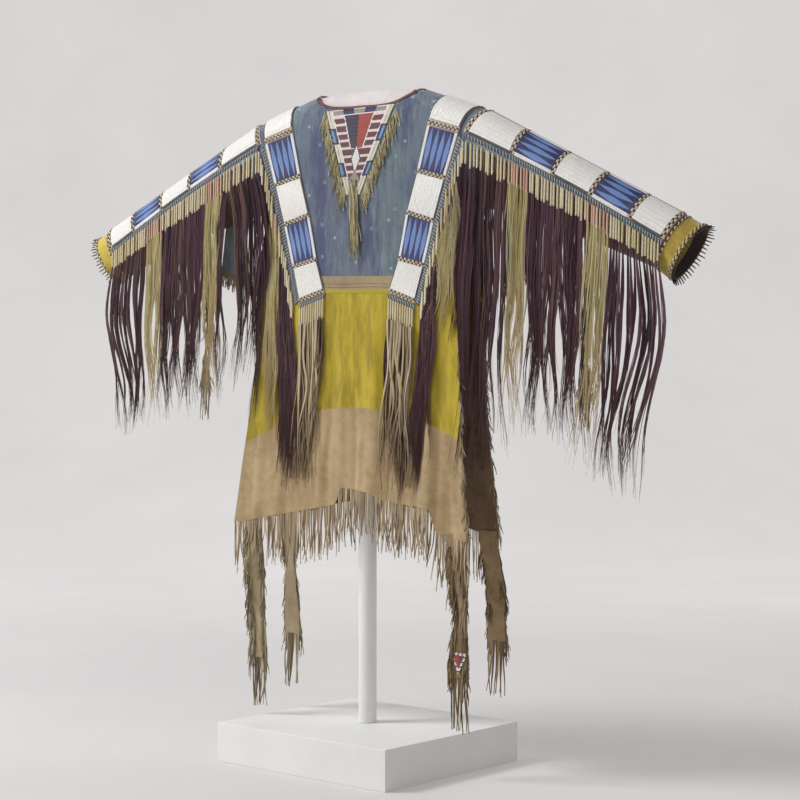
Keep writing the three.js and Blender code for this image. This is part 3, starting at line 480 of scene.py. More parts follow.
class Net:
    # adds nodes to a tree and links them by position or name
    def __init__(self, tree):
        self.tree = tree

    def add(self, kind, inputs=None, **values):
        node = self.tree.nodes.new(kind)
        for name, value in values.items():
            setattr(node, name, value)
        for key, value in (inputs or {}).items():
            socket = node.inputs[key]
            if isinstance(value, bpy.types.NodeSocket):
                self.tree.links.new(value, socket)
            else:
                socket.default_value = value
        return node

    def math(self, operation, a, b=0.0, clamp=False):
        return self.add("ShaderNodeMath", {0: a, 1: b}, operation=operation, use_clamp=clamp).outputs[0]

    def plus(self, a, b):
        return self.math("ADD", a, b)

    def minus(self, a, b):
        return self.math("SUBTRACT", a, b)

    def times(self, a, b):
        return self.math("MULTIPLY", a, b)

    def noise(self, vector, scale, detail=4.0, roughness=0.6):
        values = {"Vector": vector, "Scale": scale, "Detail": detail, "Roughness": roughness}
        return self.add("ShaderNodeTexNoise", values).outputs["Fac"]

    def wander(self, vector, scale, reach, detail=4.0):
        # a soft noise round nought
        return self.times(self.minus(self.noise(vector, scale, detail), 0.5), reach)

    def span(self, value, low, high, start=0.0, end=1.0):
        values = {0: value, 1: low, 2: high, 3: start, 4: end}
        return self.add("ShaderNodeMapRange", values, interpolation_type="SMOOTHSTEP").outputs[0]

    def attribute(self, name):
        return self.add("ShaderNodeAttribute", attribute_name=name).outputs["Fac"]

    def ramp(self, value, stops, constant=False):
        # stops: places and colours from left to right
        node = self.add("ShaderNodeValToRGB", {"Fac": value})
        if constant:
            node.color_ramp.interpolation = "CONSTANT"
        first, last = node.color_ramp.elements
        first.color = rgb(*stops[0][1])
        last.position, last.color = stops[-1][0], rgb(*stops[-1][1])
        for place, color in stops[1:-1]:
            node.color_ramp.elements.new(place).color = rgb(*color)
        return node.outputs[0]

    def blend(self, share, a, b, mode="MIX"):
        node = self.add("ShaderNodeMix", data_type="RGBA", blend_type=mode)
        for socket, value in zip((node.inputs[0], node.inputs[6], node.inputs[7]), (share, a, b)):
            if isinstance(value, bpy.types.NodeSocket):
                self.tree.links.new(value, socket)
            else:
                socket.default_value = value
        return node.outputs[2]

    def scaled(self, vector, scale, move=(0, 0, 0)):
        return self.add("ShaderNodeMapping", {"Vector": vector, "Scale": scale, "Location": move}).outputs[0]

    def split(self, vector):
        return self.add("ShaderNodeSeparateXYZ", {0: vector}).outputs

    def group(self, tree, **inputs):
        node = self.tree.nodes.new("ShaderNodeGroup")
        node.node_tree = tree
        for key, value in inputs.items():
            if isinstance(value, bpy.types.NodeSocket):
                self.tree.links.new(value, node.inputs[key])
            else:
                node.inputs[key].default_value = value
        return node


def rgb(red, green, blue):
    # a colour as seen on a screen, 0 to 255, turned to linear light
    values = [v / 255 for v in (red, green, blue)]
    return tuple(v / 12.92 if v <= 0.04045 else ((v + 0.055) / 1.055) ** 2.4 for v in values) + (1.0,)


def makeNapGroup():
    # the napped grain of brain-tanned hide: a tone that wanders and a height for bump
    group, start, end = newGroup("hideNap", "Size", 1.0)
    net = Net(group)
    values = {0: start.outputs["Vector"], "Scale": start.outputs["Size"]}
    place = net.add("ShaderNodeVectorMath", values, operation="SCALE").outputs[0]
    broad = net.noise(place, 9.0, 3.0, 0.5)
    medium = net.noise(place, 55.0, 4.0, 0.6)
    fine = net.noise(place, 420.0, 3.0, 0.7)
    tone = net.plus(net.times(broad, 0.5), net.times(medium, 0.35))
    height = net.plus(net.times(fine, 0.6), net.times(medium, 0.4))
    return closeGroup(group, end, net.plus(tone, net.times(fine, 0.15)), height)


def makeBeadGroup():
    # close rows of small round beads, as a height for bump and a tone for each bead
    group, start, end = newGroup("beadRows", "Pitch", 0.0019)
    net = Net(group)
    scale = net.math("DIVIDE", 1.0, start.outputs["Pitch"])
    values = {"Vector": start.outputs["Vector"], "Scale": scale, "Randomness": 0.2}
    cells = net.add("ShaderNodeTexVoronoi", values)
    height = net.span(cells.outputs["Distance"], 0.1, 0.62, 1.0, 0.0)
    return closeGroup(group, end, net.split(cells.outputs["Color"])[0], height)


napGroup = makeNapGroup()
beadGroup = makeBeadGroup()


def newMaterial(name, roughness=0.9, sheen=0.0, coat=0.0, specular=0.5):
    material = bpy.data.materials.new(name)
    material.use_nodes = True
    tree = material.node_tree
    shader = tree.nodes["Principled BSDF"]
    shader.inputs["Roughness"].default_value = roughness
    shader.inputs["Sheen Weight"].default_value = sheen
    shader.inputs["Coat Weight"].default_value = coat
    shader.inputs["Specular IOR Level"].default_value = specular
    place = tree.nodes.new("ShaderNodeTexCoord").outputs["Object"]
    return material, Net(tree), shader, place


def setBump(net, shader, height, strength, distance):
    bump = net.add("ShaderNodeBump", {"Height": height, "Strength": strength, "Distance": distance})
    net.tree.links.new(bump.outputs[0], shader.inputs["Normal"])


def setColor(net, shader, color):
    net.tree.links.new(color, shader.inputs["Base Color"])


def newHide(name, sheen=0.3):
    # napped hide waiting for its colour
    material, net, shader, place = newMaterial(name, 0.93, sheen)
    nap = net.group(napGroup, Vector=place)
    setBump(net, shader, nap.outputs["Height"], 0.5, 0.0012)
    return material, net, shader, place, nap.outputs["Tone"]


def dressBeads(net, shader, place, color):
    # close bead rows over a colour
    rows = net.group(beadGroup, Vector=place)
    color = net.blend(net.span(rows.outputs["Tone"], 0.0, 1.0, 0.16, 0.0), color, rgb(90, 84, 84))
    setColor(net, shader, color)
    setBump(net, shader, rows.outputs["Height"], 0.6, 0.0009)


def blueHide(name="blueHide", paintedLightGain=1.0):
    # blue paint rubbed along the hide, with a loose scatter of small pale dots and dark marks
    looks = {
        "light": (142, 151, 164), "base": (105, 116, 133), "dark": (68, 76, 98), "violet": (80, 86, 116),
        "green": (110, 126, 130), "dot": (188, 198, 208), "mark": (60, 62, 84),
    }
    # a gain above 1 lifts every colour: painted light for a piece that lies in shade
    looks = {key: tuple(min(1.0, v * paintedLightGain) for v in rgb(*value)[:3]) + (1.0,) for key, value in looks.items()}
    dots = {"scale": 17.0, "pale": 0.55, "dark": 0.8}
    material, net, shader, place, nap = newHide(name, 0.25)
    broad = net.noise(net.scaled(place, (17, 17, 3.2)), 1.0, 4.0, 0.6)
    streak = net.noise(net.scaled(place, (110, 110, 14)), 1.0, 6.0, 0.75)
    patch = net.noise(place, 5.0, 2.0)
    color = net.blend(net.span(patch, 0.42, 0.6), looks["green"], looks["base"])
    color = net.blend(net.span(broad, 0.5, 0.64), color, looks["violet"])
    color = net.blend(net.span(streak, 0.34, 0.5, 0.7, 0.0), color, looks["dark"])
    color = net.blend(net.span(streak, 0.52, 0.68, 0.0, 0.6), color, looks["light"])
    color = net.blend(net.span(nap, 0.35, 0.65, 0.35, 0.0), color, looks["dark"])
    x, _, z = net.split(place)
    flat = net.add("ShaderNodeCombineXYZ", {0: x, 1: z}).outputs[0]
    values = {"Vector": flat, "Scale": dots["scale"], "Randomness": 0.8}
    cells = net.add("ShaderNodeTexVoronoi", values, voronoi_dimensions="2D")
    distance = net.plus(cells.outputs["Distance"], net.times(net.noise(place, 300.0, 2.0), 0.03))
    dot = net.span(distance, 0.03, 0.1, 1.0, 0.0)
    color = net.blend(net.times(dot, dots["pale"]), color, looks["dot"])
    marked = net.span(net.split(cells.outputs["Color"])[0], 0.62, 0.64)
    mark = net.times(net.span(distance, 0.035, 0.05, 1.0, 0.0), marked)
    setColor(net, shader, net.blend(net.times(mark, dots["dark"]), color, looks["mark"]))
    return material


def tanHide(name, light, dark, sheen=0.3):
    material, net, shader, place, nap = newHide(name, sheen)
    setColor(net, shader, net.blend(net.span(nap, 0.36, 0.64), rgb(*dark), rgb(*light)))
    return material


def skirtHide():
    looks = {"yellow": (190, 168, 42), "deep": (150, 130, 24), "tan": (182, 157, 117), "shade": (154, 130, 92)}
    looks = {key: rgb(*value) for key, value in looks.items()}
    paint = {"middle": 0.722, "drop": 0.062, "reach": 0.25}  # height of the paint's lower edge, metres
    material, net, shader, place, nap = newHide("skirtHide")
    streak = net.noise(net.scaled(place, (34, 34, 7)), 1.0, 6.0, 0.7)
    yellow = net.blend(net.span(streak, 0.36, 0.64), looks["deep"], looks["yellow"])
    yellow = net.blend(net.span(nap, 0.3, 0.5, 0.4, 0.0), yellow, looks["deep"])
    tan = net.blend(net.span(nap, 0.36, 0.62), looks["shade"], looks["tan"])
    x, _, z = net.split(place)
    side = net.math("DIVIDE", x, paint["reach"])
    edge = net.minus(paint["middle"], net.times(net.times(side, side), paint["drop"]))
    above = net.plus(net.minus(z, edge), net.wander(place, 60.0, 0.016))
    setColor(net, shader, net.blend(net.span(above, -0.003, 0.004), tan, yellow))
    return material


def waistHide():
    # bare hide with the skirt's yellow paint on its lowest part
    paintTop = {"low": 0.9605, "high": 0.9625}
    material, net, shader, place, nap = newHide("waistHide")
    color = net.blend(net.span(nap, 0.36, 0.64), rgb(142, 125, 94), rgb(166, 149, 116))
    x, _, z = net.split(place)
    level = net.plus(net.plus(z, net.times(x, math.sin(hang["tilt"]))), net.wander(place, 60.0, 0.004))
    painted = net.span(level, paintTop["low"], paintTop["high"], 1.0, 0.0)
    setColor(net, shader, net.blend(painted, color, rgb(168, 154, 50)))
    return material


def toneMaterial(name, colors, roughness=0.8, sheen=0.0, tip=None, specular=0.4):
    # a strand's own tone picks its colour; fine streaks run along it
    material, net, shader, place = newMaterial(name, roughness, sheen, specular=specular)
    stops = [(i / (len(colors) - 1), color) for i, color in enumerate(colors)]
    streak = net.noise(net.scaled(place, (900, 900, 30)), 1.0, 3.0, 0.7)
    shade = rgb(*[v * 0.55 for v in colors[0]])
    color = net.blend(net.span(streak, 0.3, 0.7, 0.28, 0.0), net.ramp(net.attribute("tone"), stops), shade)
    if tip:
        color = net.blend(net.span(net.attribute("along"), 0.35, 1.0), color, rgb(*tip))
    setColor(net, shader, color)
    setBump(net, shader, streak, 0.3, 0.0006)
    return material


def beadMaterial(name, colorMaker):
    material, net, shader, place = newMaterial(name, 0.32, 0.0, 0.15)
    dressBeads(net, shader, place, colorMaker(net, net.add("ShaderNodeUVMap").outputs[0]))
    return material


def whiteBlock(name, topEdge, lineWidth):
    # lanes of beads, a dark line along both long edges, bare hide beyond topEdge
    def color(net, uv):
        u, v, _ = net.split(uv)
        lanes = net.math("ABSOLUTE", net.minus(net.math("FRACT", net.times(v, 9.0)), 0.5))
        white = net.blend(net.span(lanes, 0.36, 0.5, 0.0, 0.16), rgb(240, 238, 233), rgb(170, 168, 160))
        low = net.span(v, lineWidth, lineWidth + 0.008, 1.0, 0.0)
        high = net.span(v, 0.968 - topEdge, 0.976 - topEdge)
        white = net.blend(net.math("MAXIMUM", low, high), white, rgb(66, 72, 70))
        if topEdge:
            white = net.blend(net.span(v, 1.0 - topEdge, 1.004 - topEdge), white, rgb(176, 160, 130))
        return white
    return beadMaterial(name, color)


def blueBlock(name, count, topEdge):
    # long pointed lozenges side by side between two white borders
    def color(net, uv):
        u, v, _ = net.split(uv)
        cell = net.times(net.minus(v, 0.09), count / (0.82 - topEdge))
        cell = net.math("ABSOLUTE", net.minus(net.math("FRACT", cell), 0.5))
        run = net.math("ABSOLUTE", net.minus(net.times(u, 2.0), 1.0))
        lozenge = net.times(net.minus(1.0, net.math("POWER", run, 1.6)), 0.37)
        inside = net.span(net.minus(lozenge, cell), -0.012, 0.012)
        color = net.blend(inside, rgb(18, 18, 84), rgb(100, 136, 198))
        high = net.span(v, 0.91 - topEdge, 0.918 - topEdge)
        border = net.math("MAXIMUM", net.span(v, 0.082, 0.09, 1.0, 0.0), high)
        color = net.blend(border, color, rgb(232, 231, 230))
        if topEdge:
            color = net.blend(net.span(v, 1.0 - topEdge, 1.004 - topEdge), color, rgb(176, 160, 130))
        return color
    return beadMaterial(name, color)


hideColors = {  # light, dark, sheen
    "tan": ((172, 155, 122), (144, 126, 96), 0.3),
    "sleeve": ((128, 104, 86), (84, 62, 50), 0.3),
    "cuff": ((200, 178, 74), (150, 124, 44), 0.3),
    "wool": ((126, 62, 62), (86, 38, 42), 0.4),
    "inner": ((132, 106, 78), (92, 68, 50), 0.3),
    # the left legs' hide: the tan made darker, painted shade for the side away from the light
    "leg": ((154, 130, 96), (118, 94, 64), 0.3),
    # the inside of the cuff mouths: unpainted hide made much darker, painted shade
    "shadedInside": ((64, 46, 44), (40, 28, 28), 0.3),
    "band": ((150, 156, 160), (120, 128, 134), 0.0),
    "ground": ((214, 198, 180), (186, 168, 150), 0.0),
    "form": ((222, 214, 214), (206, 196, 198), 0.2),
}
strandColors = {  # from the darkest strands to the palest, roughness, sheen, colour of the tips, gloss
    "rope": ([(46, 40, 38), (54, 46, 42), (206, 188, 166), (226, 212, 194)], 0.7, 0.0, None, 0.4),
    "ticks": ([(58, 64, 70), (72, 80, 88), (160, 168, 174), (188, 194, 196)], 0.5, 0.0, None, 0.4),
    "hair": (
        [(34, 18, 26), (66, 40, 52), (122, 88, 104), (150, 116, 120), (166, 140, 104)],
        0.38, 0.0, (84, 56, 54), 0.6,
    ),
    "paleHair": (
        [(170, 154, 106), (208, 194, 140), (228, 218, 170), (240, 232, 196)], 0.55, 0.0, (204, 184, 142), 0.4,
    ),
    "softThong": (
        [(110, 92, 70), (150, 132, 100), (190, 174, 138), (208, 194, 160)], 0.9, 0.2, (138, 118, 90), 0.4,
    ),
    "bibThong": ([(112, 100, 70), (170, 158, 118), (196, 186, 146), (214, 206, 172)], 0.8, 0.0, None, 0.4),
    "thong": ([(104, 90, 66), (142, 128, 98), (168, 154, 122), (188, 174, 142)], 0.9, 0.2, None, 0.4),
    # the left legs' thongs: darker again, painted shade for the side away from the light
    "shadedLegThong": ([(84, 66, 42), (118, 96, 66), (142, 120, 86), (164, 142, 108)], 0.9, 0.2, None, 0.4),
    "hemThong": ([(128, 108, 80), (166, 146, 114), (194, 174, 142), (212, 194, 162)], 0.9, 0.2, None, 0.4),
    "quill": (
        [(230, 220, 194), (220, 206, 168), (206, 192, 140), (216, 186, 160), (208, 158, 140)],
        0.6, 0.0, None, 0.4,
    ),
    "black": ([(44, 32, 30), (62, 46, 40)], 0.8, 0.0, None, 0.4),
}
look = {
    "blue": blueHide(),
    # the underarm flap takes the same blue paint 1.9 times lighter: painted light, as the flap sits in the
    # shade under the sleeve and hair
    "flap": blueHide("flapHidePaintedLight", 1.9),
    "skirt": skirtHide(),
    "waist": waistHide(),
    "white": whiteBlock("whiteBlock", 0.0, 0.03),
    "blueLong": blueBlock("blueBlock", 4, 0.0),
    "whiteSleeve": whiteBlock("whiteSleeveBlock", 0.09, 0.05),
    "blueSleeve": blueBlock("blueSleeveBlock", 4, 0.09),
}
for name, (light, dark, sheen) in hideColors.items():
    look[name] = tanHide(f"{name}Hide", light, dark, sheen)
for name, (colors, roughness, sheen, tip, specular) in strandColors.items():
    look[name] = toneMaterial(f"{name}Strands", colors, roughness, sheen, tip, specular)
print("materials ready")


# Camera and light
def makeCamera():
    view = {"angle": math.radians(35), "distance": 3.816, "aside": 0.0659, "height": 0.753}
    lens = {"length": 84.15, "sensor": 36, "drop": -0.01}
    back = np.array([math.sin(view["angle"]), -math.cos(view["angle"]), 0])
    right = np.array([math.cos(view["angle"]), math.sin(view["angle"]), 0])
    place = back * view["distance"] + right * view["aside"]
    deselect()
    bpy.ops.object.camera_add(
        location=(place[0], place[1], view["height"]), rotation=(math.pi / 2, 0, view["angle"]),
    )
    camera = bpy.context.object
    camera.data.lens = lens["length"]
    camera.data.sensor_width = lens["sensor"]
    camera.data.shift_y = lens["drop"]
    camera.data.clip_end = 60
    bpy.context.scene.camera = camera


def makeLight(name, place, aim, size, power, color=(1, 1, 1)):
    deselect()
    bpy.ops.object.light_add(type="AREA", location=place)
    light = bpy.context.object
    light.name = name
    light.data.size = size
    light.data.energy = power
    light.data.color = color
    way = np.array(aim, float) - np.array(place, float)
    flat = math.hypot(way[0], way[1])
    light.rotation_euler = (math.atan2(flat, -way[2]), 0, math.atan2(way[1], way[0]) - math.pi / 2)


def makeStudio():
    # a floor that sweeps up into a wall behind the shirt, seen from the camera
    sweep = {"front": -9.0, "back": 4.0, "radius": 3.0, "top": 9.0, "half": 12.0, "turn": math.radians(35)}
    deselect()
    bpy.ops.mesh.primitive_grid_add(x_subdivisions=2, y_subdivisions=60, size=2)
    floor = bpy.context.object
    floor.name = "floor"
    flat = readPoints(floor.data)
    run = (flat[:, 1] + 1) / 2
    level = np.minimum(run / 0.4, 1)
    turn = np.clip((run - 0.4) / 0.4, 0, 1) * math.pi / 2
    rise = np.clip((run - 0.8) / 0.2, 0, 1)
    away = mix(sweep["front"], sweep["back"], level) + sweep["radius"] * np.sin(turn)
    up = sweep["radius"] * (1 - np.cos(turn)) + (sweep["top"] - sweep["radius"]) * rise
    side = flat[:, 0] * sweep["half"]
    c, s = math.cos(sweep["turn"]), math.sin(sweep["turn"])
    writePoints(floor.data, np.stack([side * c - away * s, side * s + away * c, up], -1))
    pick(floor)
    bpy.ops.object.shade_smooth()
    material, net, shader, place = newMaterial("paleFloor", 0.9)
    color = net.blend(net.span(net.noise(place, 0.7), 0.3, 0.7), rgb(200, 198, 197), rgb(194, 192, 192))
    setColor(net, shader, color)
    # the floor and wall glow, more strongly far from the middle of the scene: painted light that brightens the
    # backdrop
    net.tree.links.new(color, shader.inputs["Emission Color"])
    far = net.add("ShaderNodeVectorMath", {0: place}, operation="LENGTH").outputs["Value"]
    net.tree.links.new(net.span(far, 1.0, 4.5, 0.28, 0.64), shader.inputs["Emission Strength"])
    floor.data.materials.append(material)
    world = bpy.data.worlds.new("studio")
    world.use_nodes = True
    world.node_tree.nodes["Background"].inputs[0].default_value = rgb(228, 226, 227)
    world.node_tree.nodes["Background"].inputs[1].default_value = 0.46
    bpy.context.scene.world = world
    bpy.context.scene.view_settings.view_transform = "Standard"
    makeLight("keyLight", (-2.4, -2.0, 4.2), (0, 0, 0.8), 1.5, 148)
    makeLight("fillLight", (3.4, -2.2, 2.0), (0, 0, 0.8), 2.6, 5)
    makeLight("lowLight", (-2.8, -3.2, 1.0), (0, 0, 0.7), 2.0, 30)
    makeLight("backLight", (0.6, 3.2, 3.0), (0, 0, 0.9), 2.4, 16)


makeCamera()
makeStudio()
print("camera and studio ready")


# Stand
def paintedStand():
    material, net, shader, place = newMaterial("whitePaint", 0.5, 0.0, 0.1)
    speck = net.noise(place, 700.0, 2.0)
    patch = net.span(net.noise(place, 5.0), 0.3, 0.7)
    setColor(net, shader, net.blend(patch, rgb(238, 238, 236), rgb(231, 231, 230)))
    setBump(net, shader, speck, 0.08, 0.0004)
    return material


def makeStand():
    paint = paintedStand()
    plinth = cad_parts["plinth"]
    plinth.data.materials.clear()
    plinth.data.materials.append(paint)
    low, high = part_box("post")
    radius = (high.x - low.x) / 2
    deselect()
    middle = (0, 0, (high.z + low.z) / 2)
    bpy.ops.mesh.primitive_cylinder_add(vertices=96, radius=radius, depth=high.z - low.z, location=middle)
    post = bpy.context.object
    post.name = "post_tube"
    bpy.ops.object.transform_apply(location=True, rotation=False, scale=False)
    addModifier(post, "BEVEL", width=0.0012, segments=3, limit_method="ANGLE")
    post.data.materials.append(paint)
    finishPiece(post, ["post"], 40)


def makeForm():
    formSize = {"end": 731, "round": 26, "gap": 2.4, "neckGap": 1.8, "under": 1100}
    below = [(0, 285), (105, 285), (165, 240), (190, 165), (215, 105), (240, 62), (269, 42), (735, 36)]

    def place(u, v):
        x = (u * 2 - 1) * formSize["end"]
        far = np.abs(x)
        angle = v * 2 * math.pi
        arm = far > sleeveEnds["start"]
        share = np.clip((far - formSize["end"] + formSize["round"]) / formSize["round"], 0, 1)
        size = np.sqrt(np.maximum(0, 1 - share ** 2))
        tall = np.where(arm, readTable(sleeveTable, 5, far), crown)
        inNeck = np.where(far < 140, formSize["neckGap"], 0)
        deep = np.where(arm, readTable(sleeveTable, 4, far), shoulderDepth) - formSize["gap"] - inNeck
        lean = np.radians(np.where(arm, readTable(sleeveTable, 3, far), 0))
        top = np.where(arm, readTable(sleeveTable, 1, far), ridge(far))
        upper = np.cos(angle) > 0
        height = np.where(upper, tall - formSize["gap"] - inNeck, readTable(below, 1, far, 6)) * size
        down = tall - height * np.cos(angle)
        z = top - down * np.cos(lean)
        z = np.where(arm, z, np.maximum(z, formSize["under"] + 0.02 * (z - formSize["under"])))
        px = np.sign(x) * (far - down * np.sin(lean))
        y = -np.sin(angle) * deep * size
        return np.stack([px, y, z], -1), np.zeros((len(x), 3))

    form = clothGrid("padded_form_cover", 180, 48, place, look["form"], thick=0, ring=True)
    pick(form)
    bpy.ops.object.mode_set(mode="EDIT")
    bpy.ops.mesh.select_all(action="SELECT")
    bpy.ops.mesh.normals_make_consistent(inside=False)
    bpy.ops.object.mode_set(mode="OBJECT")
    finishPiece(form, ["padded_form"])


makeStand()
makeForm()
print("stand ready")


# Hide panels
def makeYoke(name):
    face = faceOf[name]

    def place(u, v):
        share = u * 2 - 1
        top = share * 283.5
        open_ = np.abs(top) < neck["half"] - 1
        topZ = np.where(open_, neckEdge(top, face) - 0.75, ridge(top) - 0.02)
        z = mix(topZ, waist["top"], v ** 1.25)
        return onBody(mix(top, share * halfWidth(z), smoothStep(v * 3)), z, face)

    yoke = clothGrid(f"yoke_{name}_hide", 92, 64, place, look["blue"], inside=look["inner"])
    finishPiece(yoke, [f"yoke_{name}"])
    return yoke


def makeWaistBand(name):
    face = faceOf[name]

    def place(u, v):
        z = mix(waist["top"] - 0.3, waist["bottom"] + 0.3, v)
        return onBody((u * 2 - 1) * halfWidth(z), z, face)

    band = clothGrid(f"waist_band_{name}_hide", 100, 10, place, look["waist"], inside=look["inner"])
    finishPiece(band, [f"waist_band_{name}"])
    rows = []
    for z in (waist["bottom"] + 13, waist["bottom"] + 19.5):
        x = np.arange(-236, 237, 5.0)
        rows.append(onBody(x, z + 0.8 * np.sin(x * 0.05), face))
    points = np.concatenate([p for p, n in rows])
    out = np.concatenate([n for p, n in rows])
    stitches = beads(
        f"waist_stitches_{name}", points + out * 1.2, np.tile([1.0, 0, 0], (len(points), 1)), out,
        (4.0, 0.9, 0.9), look["wool"], uneven(len(points), 3),
    )
    finishPiece(stitches)


def makeSkirt(name):
    face = faceOf[name]

    def place(u, v):
        share = u * 2 - 1
        low = hemHeight(share, face)
        z = mix(waist["bottom"], low, v)
        return onBody(share * halfWidth(z), z, face)

    skirt = clothGrid(f"skirt_{name}_hide", 120, 76, place, look["skirt"], inside=look["inner"])
    finishPiece(skirt, [f"skirt_{name}"])


def makeSleeve(hand):
    side = sideOf[hand]

    def tube(start, end):
        def place(u, v):
            return roundSleeve(mix(start, end, u), v * 360, side)
        return place

    sleeve = clothGrid(
        f"sleeve_{hand}_hide", 76, 48, tube(sleeveEnds["start"], sleeveEnds["cuff"] - 0.15), look["sleeve"],
        ring=True,
    )
    finishPiece(sleeve, [f"sleeve_{hand}"])
    cuff = clothGrid(
        f"cuff_{hand}_hide", 12, 56, tube(sleeveEnds["cuff"] + 0.25, sleeveEnds["mouth"]), look["cuff"],
        ring=True,
    )
    finishPiece(cuff, [f"cuff_{hand}"])
    # a dark tube just inside each cuff's mouth: the unpainted inside of the cuff, darkened further as painted
    # shade
    inside = tube(sleeveEnds["cuff"] + 14, sleeveEnds["mouth"] - 0.6)
    shadedInside = clothGrid(
        f"cuff_{hand}_lining", 8, 56, inside, look["shadedInside"], thick=0.8, ring=True, relief=same(-1.8),
    )
    finishPiece(shadedInside)


for name in faceOf:
    makeYoke(name)
    makeWaistBand(name)
    makeSkirt(name)
for hand in sideOf:
    makeSleeve(hand)
print("hide panels ready")


# Beadwork
strip = {"under": 1.7, "thick": 2.6, "lanes": 9, "laneRise": 0.45, "ropeWidth": 9.6, "band": 13}
ropeTurn = {"pitch": 4.7, "row": 2.2}
turnSize = np.array([(4.6, 2.5, 3.3), (7.4, 4.2, 3.5)])  # a dark and a pale turn: length, width, height


def laneRise(v):
    lane = np.abs(np.sin(v * strip["lanes"] * math.pi)) ** 0.7
    return strip["under"] + strip["thick"] + strip["laneRise"] * lane


def darkAndPale(count, phase, seed):
    # dark and pale turns by turns
    kind = (np.arange(count) + phase) % 2
    return kind, np.where(kind == 0, 0.12, 0.7 + 0.3 * uneven(count, seed))


def ropeRow(place, from_, to, rowAt, phase):
    # one row of twisted turns across a strip; place(share) gives points and directions
    ends = place(np.array([from_, to]))[0]
    count = int(np.linalg.norm(ends[1] - ends[0]) / ropeTurn["pitch"])
    at = evenly(count)
    points, out = place(mix(from_, to, at))
    after = place(mix(from_, to, at) + 0.002)[0]
    along = unit(after - points)
    across = unit(np.cross(out, along))
    kind, tones = darkAndPale(count, phase, phase)
    centres = points + across * rowAt + out * (strip["under"] + 2.2)
    lean = along + across * 0.35 * (1 if rowAt > 0 else -1)
    return centres, lean, out, tones, turnSize[kind]


def ropeBands(name, bands, replaces):
    rows = []
    for place, from_, to in bands:
        for k, rowAt in enumerate((-ropeTurn["row"], ropeTurn["row"])):
            rows.append(ropeRow(place, from_, to, rowAt, k))
    parts = [np.concatenate(column) for column in zip(*rows)]
    rope = beads(name, parts[0], parts[1], parts[2], parts[4], look["rope"], parts[3])
    finishPiece(rope, replaces)


def makeSleeveStrip(hand):
    side = sideOf[hand]
    half = strip["ropeWidth"] / 2
    blocks = []
    for k, (start, end) in enumerate(zip(sleeveRopes, sleeveRopes[1:])):
        def place(u, v, start=start, end=end):
            return onSleeveStrip(mix(start + half, end - half, u), v, side)

        block = clothGrid(
            f"block{k}", int((end - start) / 5), 36, place, look["whiteSleeve" if k % 2 == 0 else "blueSleeve"],
            thick=strip["thick"], offset=-1, relief=lambda u, v: laneRise(v),
        )
        blocks.append(block)

    def ground(u, v):
        return onSleeveStrip(mix(sleeveRopes[0] - half, sleeveRopes[-1] + half, u), v, side)

    blocks.append(clothGrid(
        "ground", 80, 8, ground, look["ground"], thick=1.0, offset=-1,
        relief=same(strip["under"] + 1.0),
    ))
    whole = join(f"sleeve_strip_{hand}_beads", blocks)
    finishPiece(whole, [f"sleeve_strip_{hand}"])

    bands = []
    for x in sleeveRopes:
        bands.append((lambda share, x=x: onSleeveStrip(np.full(len(share), x), share, side), 0.01, 0.99))
    ropeBands(f"sleeve_strip_{hand}_ropes", bands, [f"sleeve_strip_{hand}"])


def ropeRowShare(k):
    # how much of a row a rope's half width takes up, measured towards the shoulder
    a, b = shoulderTable[k - 1], shoulderTable[k]
    return strip["ropeWidth"] / 2 / math.hypot(b[1] - a[1], b[2] - a[2])


def makeShoulderStrip(hand):
    side = sideOf[hand]
    blocks = []
    spans = [(-1, 1, "white")]
    for k in range(1, 5):
        kind = "blueLong" if k % 2 else "white"
        spans += [(k, k + 1, kind), (-k, -k - 1, kind)]
    for i, (start, end, kind) in enumerate(spans):
        far = max(abs(start), abs(end))
        cut = ropeRowShare(int(far)) * 2
        low = math.copysign(far - cut, end)
        high = -low if i == 0 else start

        def place(u, v, high=high, low=low):
            return onStrip(mix(high, low, u), 1 - v, side)

        block = clothGrid(
            f"block{i}", 36 if i == 0 else 20, 36, place, look[kind],
            thick=strip["thick"], offset=-1, relief=lambda u, v: laneRise(v),
        )
        blocks.append(block)

    def ground(u, v):
        return onStrip(mix(-5, 5, u), 1 - v, side)

    blocks.append(clothGrid(
        "ground", 140, 8, ground, look["ground"], thick=1.0, offset=-1,
        relief=same(strip["under"] + 1.0),
    ))
    whole = join(f"shoulder_strip_{hand}_beads", blocks)
    finishPiece(whole, [f"shoulder_strip_{hand}"])
    bands = []
    for k in range(1, 6):
        for way in (1, -1):
            row = way * (k - ropeRowShare(k))
            bands.append((lambda share, row=row: onStrip(np.full(len(share), row), share, side), 0.01, 0.99))
    ropeBands(f"shoulder_strip_{hand}_ropes", bands, [f"shoulder_strip_{hand}"])


for hand in sideOf:
    makeSleeveStrip(hand)
    makeShoulderStrip(hand)
print("beaded strips ready")


# The bands of slanting stitches, and the wrapped sticks, hair and thongs that hang from them
locks = {"perSleeve": 60, "stickWidth": 4.2, "hairWidth": 2.1}
tipTable = {  # share along a sleeve, height of the longest tips
    "left": [(0, 560), (0.1, 590), (0.17, 650), (0.24, 690), (0.45, 680), (0.6, 646), (0.75, 606), (1, 586)],
    "right": [(0, 790), (0.1, 770), (0.2, 716), (0.4, 704), (0.6, 684), (0.8, 662), (1, 656)],
}
partShare = 0.155  # where the right sleeve's hair parts over the underarm flap
bandTick = {"pitch": 3.2, "length": 10.5, "width": 2.4, "height": 2.2, "backing": 1.4}  # millimetres
paleGroups = [(0.19, 0.31), (0.62, 0.74)]  # shares along a sleeve where the hair is pale


